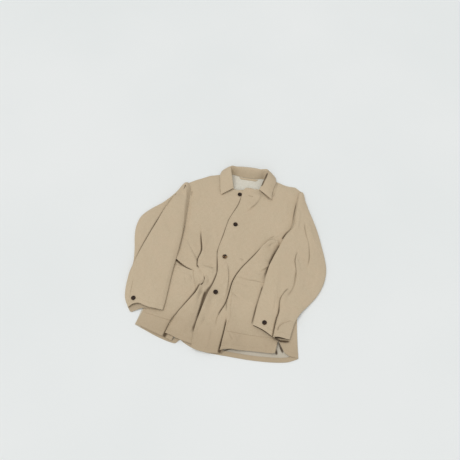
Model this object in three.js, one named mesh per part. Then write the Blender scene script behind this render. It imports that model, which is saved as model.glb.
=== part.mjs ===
// A cotton chore jacket laid flat on its back, front up, with both sleeves brought down beside
// and over the body. Millimetres, +Z up. The jacket's centre line runs along +Y, collar at +Y,
// hem at -Y, and the wearer's left is at +X. The cloth is modelled as worn walls: each panel is
// a patch between its cut edges, raised by the puff of the layers below it and by its folds.
import * as THREE from "three";

// Driving sizes
const cloth = 1.6; // wall of the jacket's cloth
const seam = 0.3; // gap between pieces where they are sewn or lie on each other
const puff = 5.0; // how far the fronts stand above their seams, over the flat back
const edgeRound = 45; // width over which a front rises from its side seam
const shoulderRound = 34; // the same from the shoulder seam
const plyStep = 2.6; // rise of the left front where it laps over the right one
const lapWidth = 62; // width of that lap
const collarWall = 2.2; // collar, two plies
const pocketWall = 1.5;
const hemTurn = 15; // turned-up hem that shows inside the back
const hemWall = 1.2;
const buttonRadius = 8.5;
const buttonHeight = 3.2;
const cuffButtonRadius = 8;
const footprint = { x: -19.3, y: 82.7 }; // middle of the laid-out jacket, which is the part's origin

const seamTop = 2 * cloth + seam; // top of a front where it is sewn down to the back

// Sections of each front from hem to shoulder. "edge" is its free front edge and then the neck, "side" the
// side seam and then the armhole. Between them "fold" follows the main fold, and "inner" and "outer" are
// the two sides of the patch pocket, carried on up to the shoulder.
const rightFrontSections = [
  { at: "hem", side: [-284, -251], outer: [-272, -253],
    inner: [-182, -265], fold: [-166, -266], edge: [-25, -290] },
  { at: "foot", side: [-272, -204], outer: [-262, -206],
    inner: [-166, -219], fold: [-153, -217], edge: [-20, -215] },
  { at: "pocket", side: [-266, -110], outer: [-257, -108],
    inner: [-120, -115], fold: [-102, -115], edge: [-12, -115] },
  { at: "mouth", side: [-263, -12], outer: [-246, -4],
    inner: [-130, -26], fold: [-106, -28], edge: [-5, -20] },
  { at: "chest", side: [-254, 60], outer: [-225, 60], inner: [-140, 60], fold: [-109, 60], edge: [2, 60] },
  { at: "underarm", side: [-206, 150], outer: [-190, 148],
    inner: [-158, 146], fold: [-131, 146], edge: [4, 140] },
  { at: "bust", side: [-213, 222], outer: [-203, 221],
    inner: [-184, 220], fold: [-162, 219], edge: [3, 215] },
  { at: "yoke", side: [-221, 285], outer: [-208, 286],
    inner: [-190, 287], fold: [-165, 288], edge: [0, 290] },
  { at: "neck corner", side: [-229, 322], outer: [-216, 324],
    inner: [-196, 328], fold: [-166, 333], edge: [2, 349] },
  { at: "collar end", side: [-232, 332], outer: [-219, 336],
    inner: [-200, 342], fold: [-168, 346], edge: [-45, 345] },
  { at: "neck side", side: [-234, 339], outer: [-222, 347],
    inner: [-204, 356], fold: [-170, 366], edge: [-66, 378] },
  { at: "shoulder", side: [-236, 345], outer: [-224, 353],
    inner: [-206, 365], fold: [-172, 386], edge: [-78, 420] },
];
const leftFrontSections = [
  { at: "hem", edge: [-78, -296], fold: [-7, -304],
    inner: [38, -277], outer: [214, -252], side: [277, -270] },
  { at: "foot", edge: [-80, -232], fold: [-6, -222],
    inner: [38, -223], outer: [214, -220], side: [266, -205] },
  { at: "pocket", edge: [-60, -110], fold: [21, -110],
    inner: [38, -118], outer: [212, -118], side: [257, -110] },
  { at: "mouth", edge: [-42, -18], fold: [30, -30], inner: [38, -30], outer: [208, -24], side: [252, -20] },
  { at: "chest", edge: [-56, 66], fold: [82, 56], inner: [100, 57], outer: [205, 60], side: [240, 60] },
  { at: "underarm", edge: [-47, 136], fold: [124, 129],
    inner: [134, 130], outer: [152, 131], side: [169, 131] },
  { at: "bust", edge: [-38, 206], fold: [154, 208], inner: [164, 209], outer: [183, 210], side: [200, 210] },
  { at: "yoke", edge: [-13, 280], fold: [154, 280], inner: [168, 280], outer: [188, 280], side: [205, 280] },
  { at: "neck corner", edge: [1, 360], fold: [152, 352],
    inner: [170, 351], outer: [194, 350], side: [212, 350] },
  { at: "collar end", edge: [50, 360], fold: [150, 368],
    inner: [171, 367], outer: [198, 366], side: [217, 365] },
  { at: "neck side", edge: [70, 384], fold: [150, 384],
    inner: [172, 381], outer: [201, 378], side: [221, 375] },
  { at: "shoulder", edge: [80, 420], fold: [150, 404],
    inner: [172, 399], outer: [203, 396], side: [224, 382] },
];
const rightFrontHem = [
  [-25, -290], [-83, -284], [-123, -278], [-138, -273], [-160, -266], [-168, -264], [-184, -272],
  [-215, -268],
  [-250, -259], [-284, -251],
];
const leftFrontHem = [
  [-78, -296], [-60, -302], [-20, -304], [8, -299], [20, -288], [45, -274], [70, -279], [120, -274],
  [184, -269],
  [206, -238], [230, -262], [277, -270],
];
const rightShoulder = [[-78, 420], [-108, 411], [-150, 398], [-200, 369], [-236, 345]];
const leftShoulder = [[80, 420], [112, 415], [150, 404], [172, 399], [196, 401], [224, 382]];

// The back's hem, with the notch where a pleat pulls it in, and its sides and top.
const backHem = [
  [-284, -252], [-250, -263], [-200, -279], [-150, -290], [-134, -290], [-121, -277], [-106, -284],
  [-78, -295], [-40, -302], [50, -303], [130, -302], [200, -296], [245, -287], [277, -271],
];
const backTop = [
  [-236, 345], [-200, 369], [-150, 398], [-78, 420], [-30, 418], [32, 418], [80, 420], [150, 404], [196, 401],
  [224, 382],
];
const backSections = [
  { at: "hem", left: [-284, -252], right: [277, -271] },
  { at: "pocket", left: [-268, -130], right: [258, -130] },
  { at: "chest", left: [-258, 40], right: [246, 40] },
  { at: "underarm", left: [-228, 150], right: [196, 150] },
  { at: "bust", left: [-222, 235], right: [206, 250] },
  { at: "shoulder", left: [-236, 345], right: [224, 382] },
];

// Folds of the fronts. Each runs along its crest as seen from above, from its lower end. The cloth is highest
// there, falls gently over "slope" on its high side and steeply over "steep" on the other, and the crest
// leans out over the low side. "fade" is the share of the path over which it grows at its start and dies
// at its end.
const rightFrontFolds = [
  { name: "hem pleat", path: [[-174, -264], [-161, -218], [-150, -195], [-128, -152], [-106, -109],
    [-96, -76],
      [-89, -44]], high: "right", rise: 8.5, steep: 12, slope: 62, lean: 8, fade: [0, 0.25] },
  { name: "placket valley", path: [[-100, -270], [-88, -160], [-82, -90], [-84, -40]], high: "left",
    rise: 4, steep: 20, slope: 30, lean: 2, fade: [0.1, 0.3] },
  { name: "pocket corner", path: [[-92, -52], [-112, -16], [-138, 24], [-172, 66], [-204, 100]], high: "left",
    rise: 5, steep: 18, slope: 32, lean: 2, fade: [0.25, 0.5] },
  { name: "chest fold", path: [[-113, -20], [-120, 14], [-114, 60], [-123, 100], [-139, 152], [-168, 202]],
    high: "right", rise: 6.5, steep: 12, slope: 44, lean: 5, fade: [0.15, 0.5] },
  { name: "waist crease", path: [[-112, -12], [-84, -8], [-52, -14]], high: "right",
    rise: 4.5, steep: 12, slope: 24, lean: 2, fade: [0.3, 0.15] },
];
const leftFrontFolds = [
  { name: "armpit fold", path: [[-11, -222], [-7, -172], [10, -130], [16, -84], [21, -40], [40, 8], [68, 52],
      [99, 100], [120, 138], [146, 172]], high: "right",
    rise: 8, steep: 11, slope: 44, lean: 7, fade: [0.2, 0.25] },
  { name: "hem fold", path: [[18, -292], [22, -227], [25, -172], [31, -120], [27, -70]], high: "left",
    rise: 6, steep: 11, slope: 32, lean: 5, fade: [0, 0.5] },
  { name: "button fold", path: [[2, -130], [1, -70], [-3, -23], [-12, 10], [-26, 34]], high: "left",
    rise: 3.5, steep: 12, slope: 30, lean: 2, fade: [0.4, 0.3] },
  { name: "underarm fold", path: [[92, 70], [119, 106], [140, 133], [166, 142]], high: "right",
    rise: 5.5, steep: 12, slope: 26, lean: 3, fade: [0.4, 0.1] },
  { name: "sleeve shadow fold", path: [[92, 6], [118, 26], [142, 48]], high: "left",
    rise: 4.5, steep: 14, slope: 30, lean: 2, fade: [0.4, 0.1] },
  { name: "neck roll", path: [[-8, 240], [28, 266], [50, 295], [60, 322], [64, 350]], high: "left",
    rise: 5.5, steep: 18, slope: 40, lean: 3, fade: [0.3, 0.2] },
  { name: "lifted hem", path: [[62, -276], [54, -242], [36, -212]], high: "right",
    rise: 6, steep: 22, slope: 44, lean: 0, fade: [0, 0.6] },
  { name: "hem arch", path: [[207, -240], [208, -214], [210, -186]], high: "right",
    rise: 7, steep: 24, slope: 24, lean: 0, fade: [0, 0.5] },
  { name: "placket lift", path: [[-78, -230], [-66, -180], [-60, -120], [-54, -78]], high: "right",
    rise: 5.5, steep: 30, slope: 26, lean: 0, fade: [0.25, 0.35] },
];

// Sleeves: outer and inner edges from the armhole to the cuff, then the two ends from outer to inner.
const rightSleeve = {
  outer: [[-239, 345], [-262, 297], [-305, 244], [-350, 200], [-376, 164], [-383, 122], [-378, 80],
    [-364, 28],
    [-354, -20], [-352, -75], [-351, -130], [-343, -168], [-324, -198]],
  inner: [[-202, 149], [-199, 100], [-199, 50], [-200, 0], [-201, -50], [-200, -100],
    [-199, -150], [-200, -190]],
  armhole: [[-239, 345], [-226, 322], [-212, 285], [-206, 222], [-203, 180], [-202, 149]],
  underArmhole: [[-239, 345], [-238, 322], [-236, 285], [-232, 222], [-222, 180], [-202, 149]],
  cuff: [[-324, -198], [-308, -184], [-288, -179], [-272, -184], [-245, -189], [-200, -190]],
  underCuff: [[-324, -198], [-311, -211], [-298, -205], [-272, -192], [-245, -191], [-200, -190]],
  puff: [{ s: 0, top: 7 }, { s: 0.12, top: 12 }, { s: 0.5, top: 13 }, { s: 0.9, top: 11 }, { s: 1, top: 10 }],
  folds: [
    { name: "long tuck", path: [[-346, -60], [-343, -10], [-322, 78], [-301, 160], [-282, 228], [-258, 296]],
      high: "right", rise: 8, steep: 14, slope: 90, lean: 8, fade: [0.12, 0.1] },
    { name: "inner roll", path: [[-214, -185], [-212, -60], [-214, 80], [-216, 190]], high: "left",
      rise: 3, steep: 14, slope: 26, lean: 0, fade: [0.1, 0.4] },
    { name: "elbow fold", path: [[-356, 60], [-352, 120], [-330, 180]], high: "left",
      rise: 3, steep: 18, slope: 22, lean: 0, fade: [0.3, 0.4] },
    { name: "shoulder gather", path: [[-214, 238], [-222, 280], [-234, 326]], high: "left",
      rise: 5, steep: 10, slope: 16, lean: 0, fade: [0.4, 0.1] },
    { name: "cuff fold", path: [[-226, -190], [-232, -140], [-226, -96]], high: "left",
      rise: 2.5, steep: 14, slope: 24, lean: 0, fade: [0, 0.5] },
  ],
};
const leftSleeve = {
  outer: [[226, 381], [237, 345], [258, 302], [282, 252], [303, 203], [319, 158], [334, 111], [343, 70],
    [344, 38], [336, -5], [319, -45], [296, -80], [270, -116], [254, -150], [246, -185], [241, -216]],
  inner: [[171, 129], [160, 104], [148, 70], [138, 35], [132, 0], [128, -40], [122, -80], [118, -112],
    [115, -145],
    [112, -188]],
  armhole: [[226, 381], [214, 350], [207, 278], [203, 212], [186, 184], [173, 152], [171, 129]],
  underArmhole: [[226, 381], [228, 350], [230, 278], [222, 212], [202, 178], [184, 150], [171, 129]],
  cuff: [[241, -216], [214, -218], [199, -223], [188, -222], [171, -212], [148, -200], [112, -188]],
  underCuff: [[241, -216], [218, -222], [199, -228], [188, -228], [171, -216], [148, -203], [112, -188]],
  puff: [{ s: 0, top: 7 }, { s: 0.12, top: 13 }, { s: 0.5, top: 15 }, { s: 0.9, top: 11 }, { s: 1, top: 11 }],
  folds: [
    { name: "cuff crease", path: [[186, -224], [191, -160], [197, -128], [194, -88], [206, -56], [220, -28]],
      high: "left", rise: 6, steep: 13, slope: 30, lean: 5, fade: [0, 0.4] },
    { name: "outer cuff fold", path: [[202, -214], [212, -180], [230, -160], [250, -146]], high: "right",
      rise: 5, steep: 13, slope: 26, lean: 3, fade: [0, 0.3] },
    { name: "elbow valley", path: [[272, 26], [279, 66], [279, 106], [268, 158], [252, 214], [240, 266]],
      high: "right", rise: 5.5, steep: 15, slope: 34, lean: 3, fade: [0.25, 0.3] },
    { name: "middle valley", path: [[214, -84], [236, -40], [241, 10], [231, 62], [231, 110], [226, 158]],
      high: "left", rise: 4.5, steep: 15, slope: 34, lean: 3, fade: [0.3, 0.4] },
    { name: "inner ridge", path: [[176, -140], [174, -60], [168, 30], [172, 96]], high: "left",
      rise: 3, steep: 18, slope: 24, lean: 0, fade: [0.3, 0.4] },
    { name: "outer ridge", path: [[304, 60], [302, 120], [286, 190], [266, 262]], high: "right",
      rise: 3.5, steep: 18, slope: 26, lean: 0, fade: [0.3, 0.3] },
  ],
};

// The collar from its left end round the back to its right end, at the seam, the roll and the free edge.
const collarSections = [
  { at: "right end", seam: [-44, 345, 12.2], roll: [-48, 347, 15], edge: [-89, 312, 13] },
  { at: "right front", seam: [-56, 364, 12.4], roll: [-52, 368, 24], edge: [-98, 342, 13.5] },
  { at: "right side", seam: [-64, 387, 11.6], roll: [-60, 395, 32], edge: [-104, 376, 14] },
  { at: "right shoulder", seam: [-71, 412, 8.4], roll: [-67, 417, 37], edge: [-110, 406, 12] },
  { at: "right back", seam: [-62, 420, 3.4], roll: [-70, 438, 38], edge: [-98, 442, 3.2] },
  { at: "back, right half", seam: [-30, 416, 3.2], roll: [-35, 440, 34], edge: [-44, 464, 2.4] },
  { at: "back, left half", seam: [34, 416, 3.2], roll: [36, 442, 34], edge: [44, 466, 2.4] },
  { at: "left back", seam: [64, 420, 3.4], roll: [77, 444, 40], edge: [104, 444, 3.2] },
  { at: "left shoulder", seam: [72, 412, 8.4], roll: [74, 418, 38], edge: [116, 408, 12] },
  { at: "left side", seam: [66, 388, 11.6], roll: [68, 395, 33], edge: [111, 376, 14] },
  { at: "left front", seam: [60, 368, 13.4], roll: [63, 370, 25], edge: [108, 345, 16] },
  { at: "left end", seam: [54, 360, 14.2], roll: [60, 354, 19], edge: [109, 320, 19] },
];

const cottonFace = new THREE.MeshStandardMaterial({ color: 0xc0ad90, roughness: 0.92, metalness: 0 });
const cottonInside = new THREE.MeshStandardMaterial({ color: 0xd9d5c6, roughness: 0.92, metalness: 0 });
const horn = new THREE.MeshStandardMaterial({ color: 0x2b1c14, roughness: 0.35, metalness: 0 });

// Small helpers for numbers and plan curves
const clamp01 = (t) => Math.min(1, Math.max(0, t));
const smooth = (t) => clamp01(t) ** 2 * (3 - 2 * clamp01(t));
const mix = (a, b, t) => a + (b - a) * t;
const bell = (t) => (Math.abs(t) < 1 ? Math.cos((Math.PI * t) / 2) ** 2 : 0);

function curveThrough(points) {
  const at = points.map(([x, y, z = 0]) => new THREE.Vector3(x, y, z));
  return new THREE.CatmullRomCurve3(at, false, "centripetal");
}

// The x of a side at height y, from the columns of its sections.
function sideAt(sections, column, y) {
  const last = sections.length - 1;
  for (let i = 0; i < last; i++) {
    const [xa, ya] = sections[i][column];
    const [xb, yb] = sections[i + 1][column];
    if (y <= yb || i === last - 1) return mix(xa, xb, clamp01((y - ya) / (yb - ya)));
  }
  return 0;
}

// The y of a line that runs across the jacket, at x.
function lineAt(points, x) {
  const across = [...points].sort((a, b) => a[0] - b[0]);
  for (let i = 0; i < across.length - 1; i++) {
    const [xa, ya] = across[i];
    const [xb, yb] = across[i + 1];
    if (x <= xb) return mix(ya, yb, clamp01((x - xa) / (xb - xa)));
  }
  return across[across.length - 1][1];
}

// A fold's path as a fine polyline, ready for distances.
const pathSteps = 28;
function tracePaths(folds) {
  return folds.map((fold) => ({ ...fold, line: curveThrough(fold.path).getPoints(pathSteps) }));
}

// Rise and sideways lean that a set of folds gives a point of the cloth.
function foldsAt(folds, x, y) {
  const sum = { rise: 0, dx: 0, dy: 0 };
  for (const fold of folds) {
    let best = { distance: Infinity };
    for (let i = 0; i < pathSteps; i++) {
      const a = fold.line[i];
      const b = fold.line[i + 1];
      const [ax, ay] = [b.x - a.x, b.y - a.y];
      const t = clamp01(((x - a.x) * ax + (y - a.y) * ay) / (ax * ax + ay * ay));
      const [px, py] = [x - a.x - ax * t, y - a.y - ay * t];
      const distance = Math.hypot(px, py);
      if (distance < best.distance) {
        const length = Math.hypot(ax, ay);
        best = { distance, nx: ay / length, ny: -ax / length, px, py, s: (i + t) / pathSteps };
      }
    }
    const turn = fold.high === "right" ? 1 : -1;
    const across = (best.px * best.nx + best.py * best.ny) * turn;
    const away = Math.sign(across || 1) * best.distance;
    const [grow, die] = fold.fade;
    const strength = (grow ? smooth(best.s / grow) : 1) * (die ? smooth((1 - best.s) / die) : 1);
    const past = away - fold.lean * strength;
    const share = strength * bell(past / (past > 0 ? fold.slope : fold.steep));
    sum.rise += fold.rise * share;
    sum.dx -= fold.lean * share * best.nx * turn;
    sum.dy -= fold.lean * share * best.ny * turn;
  }
  return sum;
}

// A patch of plan points between four edges: low and high run along u, start and end along v.
function patch(low, high, start, end, columns, rows) {
  const edges = [low, high, start, end].map(curveThrough);
  const [c00, c10] = [edges[0].getPointAt(0), edges[0].getPointAt(1)];
  const [c01, c11] = [edges[1].getPointAt(0), edges[1].getPointAt(1)];
  const grid = [];
  for (const v of rows) {
    const [a, b] = [edges[2].getPoint(v), edges[3].getPoint(v)];
    grid.push(
      columns.map((u) => {
        const [p, q] = [edges[0].getPointAt(u), edges[1].getPointAt(u)];
        const at = (axis) =>
          mix(a[axis], b[axis], u) + mix(p[axis], q[axis], v) -
          mix(mix(c00[axis], c10[axis], u), mix(c01[axis], c11[axis], u), v);
        return new THREE.Vector3(at("x"), at("y"), 0);
      }),
    );
  }
  return grid;
}

const even = (count) => Array.from({ length: count + 1 }, (_, i) => i / count);

// Unit normals of a grid of points, pointing up for rows that run along +Y and columns along +X.
function gridNormals(grid, around = false) {
  const rows = grid.length;
  const columns = grid[0].length;
  const column = (j) => (around ? (j + columns) % columns : Math.min(columns - 1, Math.max(0, j)));
  return grid.map((row, i) =>
    row.map((_, j) => {
      const along = grid[Math.min(rows - 1, i + 1)][j].clone().sub(grid[Math.max(0, i - 1)][j]);
      const across = row[column(j + 1)].clone().sub(row[column(j - 1)]);
      return across.cross(along).normalize();
    }),
  );
}

const moved = (grid, normals, distance) =>
  grid.map((row, i) => row.map((p, j) => p.clone().addScaledVector(normals[i][j], distance)));

// A closed solid between an outer and an inner grid. A sheet has four rims, a tube only its two ends.
function wallBetween(outer, inner, around = false) {
  const rows = outer.length;
  const columns = outer[0].length;
  const positions = [...outer, ...inner].flat().flatMap((p) => [p.x, p.y, p.z]);
  const out = (i, j) => i * columns + (j % columns);
  const into = (i, j) => rows * columns + out(i, j);
  const index = [];
  const quad = (a, b, c, d) => index.push(a, b, c, a, c, d);
  const spans = around ? columns : columns - 1;
  for (let i = 0; i < rows - 1; i++) {
    for (let j = 0; j < spans; j++) {
      quad(out(i, j), out(i, j + 1), out(i + 1, j + 1), out(i + 1, j));
      quad(into(i, j), into(i + 1, j), into(i + 1, j + 1), into(i, j + 1));
    }
  }
  for (let j = 0; j < spans; j++) {
    quad(out(0, j), into(0, j), into(0, j + 1), out(0, j + 1));
    quad(out(rows - 1, j), out(rows - 1, j + 1), into(rows - 1, j + 1), into(rows - 1, j));
  }
  for (let i = 0; i < rows - 1 && !around; i++) {
    quad(out(i, 0), out(i + 1, 0), into(i + 1, 0), into(i, 0));
    quad(out(i, columns - 1), into(i, columns - 1), into(i + 1, columns - 1), out(i + 1, columns - 1));
  }
  return new THREE.BufferGeometry()
    .setAttribute("position", new THREE.Float32BufferAttribute(positions, 3))
    .setIndex(index);
}

function named(name, geometry, material) {
  const mesh = new THREE.Mesh(geometry, material);
  mesh.name = name;
  return mesh;
}

// The fronts' skin
const foldsOf = { right: tracePaths(rightFrontFolds), left: tracePaths(leftFrontFolds) };
const underLap = 3.6; // how far the right front sinks below the lap, where the left one covers it
const sinkWidth = 26;

// Height of the plain cloth of the fronts: sewn down at the sides and shoulders, puffed between.
function frontLevel(x, y) {
  const inside = Math.min(x - sideAt(rightFrontSections, "side", y),
    sideAt(leftFrontSections, "side", y) - x);
  const below = lineAt(x < 0 ? rightShoulder : leftShoulder, x) - y;
  return seamTop + puff * Math.sqrt(smooth(inside / edgeRound)) * Math.sqrt(smooth(below / shoulderRound));
}

// A point of one front: where its folds carry it, and how high it lies. Below the lap the right front
// sinks and its folds flatten, and the left one rides on what is left of them.
function frontPoint(which, x, y) {
  const pastEdge = x - sideAt(leftFrontSections, "edge", y);
  const fold = foldsAt(foldsOf[which], x, y);
  const toSide = Math.min(x - sideAt(rightFrontSections, "side", y),
    sideAt(leftFrontSections, "side", y) - x);
  const held = smooth(toSide / 14);
  if (which === "right") {
    const open = held * (1 - smooth(pastEdge / sinkWidth));
    const z = frontLevel(x, y) - underLap * smooth(pastEdge / sinkWidth) + fold.rise * open;
    return new THREE.Vector3(x + fold.dx * open, y + fold.dy * open, z);
  }
  const onRight = plyStep * (1 - smooth((pastEdge - 0.4 * lapWidth) / lapWidth));
  const ridden = foldsAt(foldsOf.right, x, y).rise * (1 - smooth(pastEdge / (2 * sinkWidth)));
  const z = frontLevel(x, y) + (onRight + ridden + fold.rise) * held;
  return new THREE.Vector3(x + fold.dx * held, y + fold.dy * held, z);
}

const rowsPerSection = [3, 4, 4, 3, 3, 3, 3, 3, 1, 1, 2];
const columnSpans = {
  right: [
    { from: "side", to: "outer", count: 2, crowd: 1 },
    { from: "outer", to: "inner", count: 8, crowd: 1 },
    { from: "inner", to: "fold", count: 2, crowd: 1 },
    { from: "fold", to: "edge", count: 12, crowd: 1.4 },
  ],
  left: [
    { from: "edge", to: "fold", count: 9, crowd: 0.8 },
    { from: "fold", to: "inner", count: 4, crowd: 1 },
    { from: "inner", to: "outer", count: 8, crowd: 1.15 },
    { from: "outer", to: "side", count: 3, crowd: 1 },
  ],
};
const rowOf = (section) => rowsPerSection.slice(0, section).reduce((sum, count) => sum + count, 0);
const columnOf = (which, name) => {
  const spans = columnSpans[which];
  return spans.slice(0, spans.findIndex((span) => span.to === name) + 1)
    .reduce((sum, span) => sum + span.count, 0);
};

// A front's grid of points: rows run through its sections, columns through their named columns. The first
// and last row are drawn to the hem and the shoulder, and that pull fades over the next section.
function frontGrid(which) {
  const right = which === "right";
  const sections = right ? rightFrontSections : leftFrontSections;
  const [hem, shoulder] = right ? [rightFrontHem, rightShoulder] : [leftFrontHem, leftShoulder];
  const names = ["side", "outer", "inner", "fold", "edge"];
  const curves = Object.fromEntries(names.map((name) => [name, curveThrough(sections.map((row) => row[name]))]));
  const last = sections.length - 1;
  const rows = [0, ...rowsPerSection.flatMap((count, i) => even(count).slice(1).map((t) => i + t))];
  return rows.map((row) => {
    const at = Object.fromEntries(names.map((name) => [name, curves[name].getPoint(row / last)]));
    const points = columnSpans[which].flatMap(({ from, to, count, crowd }, k) =>
      even(count).slice(k ? 1 : 0).map((t) => at[from].clone().lerp(at[to], t ** crowd)),
    );
    return points.map((p, j) => {
      const [rim, pull] = row < 1 ? [hem, 1 - row] : [shoulder, Math.max(0, row - last + 1)];
      const ends = j === 0 || j === points.length - 1;
      const rimRow = row < 1 ? sections[0] : sections[last];
      const flat = lineAt(names.map((name) => rimRow[name]), p.x);
      const y = ends || !pull ? p.y : p.y + (lineAt(rim, p.x) - flat) * pull;
      return frontPoint(which, p.x, y);
    });
  });
}

const skins = { right: frontGrid("right"), left: frontGrid("left") };
const skinNormals = { right: gridNormals(skins.right), left: gridNormals(skins.left) };

function front(which) {
  const skin = skins[which];
  const inner = moved(skin, skinNormals[which], -cloth);
  return named(`front_${which}`, wallBetween(skin, inner), cottonFace);
}

// A patch pocket is sewn on a front: that front's own points between its columns "outer" and "inner", from
// the section at its foot up to the one at its mouth, moved out. Its mouth gapes a little.
const gape = { right: { height: 4.5, middle: 0.68, width: 0.34 }, left: { height: 2, middle: 0.4, width: 0.5 } };
function pocket(which) {
  const [low, high] = [rowOf(1), rowOf(3)];
  const [first, last] = [columnOf(which, "outer"), columnOf(which, "inner")].sort((a, b) => a - b);
  const cut = (grid) => grid.slice(low, high + 1).map((row) => row.slice(first, last + 1));
  const [points, normals] = [cut(skins[which]), cut(skinNormals[which])];
  const { height, middle, width } = gape[which];
  const raised = (distance) =>
    points.map((row, i) =>
      row.map((p, j) => {
        const open = smooth((i - high + low + 3) / 3) * bell((j / (last - first) - middle) / width);
        return p.clone().addScaledVector(normals[i][j], distance + height * open);
      }),
    );
  return named(`pocket_${which}`, wallBetween(raised(seam + pocketWall), raised(seam)), cottonFace);
}

// The back lies flat on the surface, its inside up.
function back() {
  const plan = patch(
    backHem,
    backTop,
    backSections.map((row) => row.left),
    backSections.map((row) => row.right),
    even(22),
    even(14),
  );
  const raised = plan.map((row) => row.map((p) => new THREE.Vector3(p.x, p.y, cloth)));
  return named("back", wallBetween(raised, plan), cottonFace);
}

// The hem that is turned up inside the back, a strip that ends short of the side seams.
const hemTurnEnds = 22;
function backHemTurn() {
  const line = curveThrough(backHem);
  const length = line.getLength();
  const stations = even(36).map((t) => mix(hemTurnEnds / length, 1 - hemTurnEnds / length, t));
  const strip = (z) =>
    [0, 1].map((side) =>
      stations.map((t) => {
        const [p, along] = [line.getPointAt(t), line.getTangentAt(t)];
        return new THREE.Vector3(p.x - along.y * hemTurn * side, p.y + along.x * hemTurn * side + seam, z);
      }),
    );
  const floor = cloth + seam;
  return named("hem_back", wallBetween(strip(floor + hemWall), strip(floor)), cottonFace);
}

// The strip that covers the neck seam inside the back.
const neckStrip = { from: -34, to: 44, low: 404, high: 413, slant: 8, wall: 1 };
function neckFacing() {
  const { from, to, low, high, slant, wall } = neckStrip;
  const corners = [[from, high], [from + slant, low], [to - slant, low], [to, high]];
  const shape = new THREE.Shape(corners.map(([x, y]) => new THREE.Vector2(x, y)));
  const geometry = new THREE.ExtrudeGeometry(shape, { depth: wall, bevelEnabled: false });
  geometry.translate(0, 0, cloth + seam);
  return named("neck_facing", geometry, cottonFace);
}

// The collar: a stand that rises from the neck seam, a roll, and a fall that turns down outside.
function collar() {
  const columns = ["seam", "roll", "edge"].map((name) => curveThrough(collarSections.map((row) => row[name])));
  const rows = even(30).map((t) => {
    const [foot, roll, edge] = columns.map((curve) => curve.getPoint(t));
    const bulge = foot.clone().lerp(roll, 0.6).lerp(edge, -0.06);
    const brow = roll.clone().lerp(edge, 0.12).add(new THREE.Vector3(0, 0, 0.4));
    const cheek = roll.clone().lerp(edge, 0.6).add(new THREE.Vector3(0, 0, 1.5));
    return new THREE.CatmullRomCurve3([foot, bulge, roll, brow, cheek, edge], false, "centripetal").getPoints(9);
  });
  const normals = gridNormals(rows);
  const [near, far] = [moved(rows, normals, -collarWall / 2), moved(rows, normals, collarWall / 2)];
  return named("collar", wallBetween(far, near), cottonFace);
}

// What a sleeve lies on at a point of the plan: the fronts where it crosses the body, or the surface below.
const sleeveClear = 1.0;
const reach = [[0, 0], [13, 0], [-13, 0], [0, 16], [0, -16]];
function insideBody(x, y, margin) {
  return (
    x > sideAt(rightFrontSections, "side", y) - margin && x < sideAt(leftFrontSections, "side", y) + margin &&
    y > -262 - margin && y < lineAt(x < 0 ? rightShoulder : leftShoulder, x) + margin
  );
}
function supportAt(x, y, spread) {
  let height = 0;
  for (const [dx, dy] of reach) {
    const [px, py] = [x + dx * spread, y + dy * spread];
    if (insideBody(px, py, 4 * spread)) {
      const which = px < 0 ? "right" : "left";
      height = Math.max(height, frontLevel(px, py) + foldsAt(foldsOf[which], px, py).rise + pocketWall + sleeveClear);
    } else if (insideBody(px, py, 26)) {
      height = Math.max(height, cloth + seam);
    }
  }
  return height;
}

const puffAt = (table, s) => {
  const next = Math.max(1, table.findIndex((row) => row.s >= s));
  const [a, b] = [table[next - 1], table[next]];
  return mix(a.top, b.top, smooth((s - a.s) / (b.s - a.s)));
};

// A sleeve is a flattened tube. Its upper wall runs from the outer to the inner edge, its lower wall back.
const edgeLift = 4.2; // height of a sleeve's side edges above what they lie on
const [upperSpans, lowerSpans] = [22, 10];
function sleeve(name, shape) {
  const folds = tracePaths(shape.folds);
  const stations = even(18);
  const spread = (count) => even(count).map((t) => (1 - Math.cos(Math.PI * t)) / 2);
  const wall = (start, end, count) => patch(shape.outer, shape.inner, start, end, stations, spread(count));
  const upper = wall(shape.armhole, shape.cuff, upperSpans);
  const lower = wall(shape.underArmhole, shape.underCuff, lowerSpans);
  const rings = stations.map((s, i) => {
    const overFront = smooth(s / 0.1);
    const ring = [];
    for (let k = 0; k <= upperSpans; k++) {
      const p = upper[k][i];
      const across = Math.sin((Math.PI * k) / upperSpans) ** 0.75;
      const fold = foldsAt(folds, p.x, p.y);
      const base = supportAt(p.x, p.y, 0.35 + 0.65 * overFront) + edgeLift;
      ring.push(
        new THREE.Vector3(
          p.x + fold.dx * across,
          p.y + fold.dy * across,
          base + across * (puffAt(shape.puff, s) + fold.rise),
        ),
      );
    }
    for (let k = lowerSpans - 1; k > 0; k--) {
      const p = lower[k][i];
      const across = Math.sin((Math.PI * k) / lowerSpans) ** 0.6;
      const base = supportAt(p.x, p.y, 0.35 + 0.65 * overFront);
      ring.push(new THREE.Vector3(p.x, p.y, base + edgeLift * (1 - across)));
    }
    return ring;
  });
  const normals = gridNormals(rings, true);
  const flip = normals[9][Math.round(upperSpans / 2)].z < 0 ? -1 : 1;
  const inner = moved(rings, normals, -cloth * flip);
  const [first, second] = flip > 0 ? [rings, inner] : [[...rings].reverse(), [...inner].reverse()];
  return named(name, wallBetween(first, second, true), cottonFace);
}

// Height of a mesh's upper side at a place in the plan.
const down = new THREE.Vector3(0, 0, -1);
function heightOn(mesh, x, y) {
  const hit = new THREE.Raycaster(new THREE.Vector3(x, y, 300), down).intersectObject(mesh)[0];
  return hit ? hit.point.z : 0;
}

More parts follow.
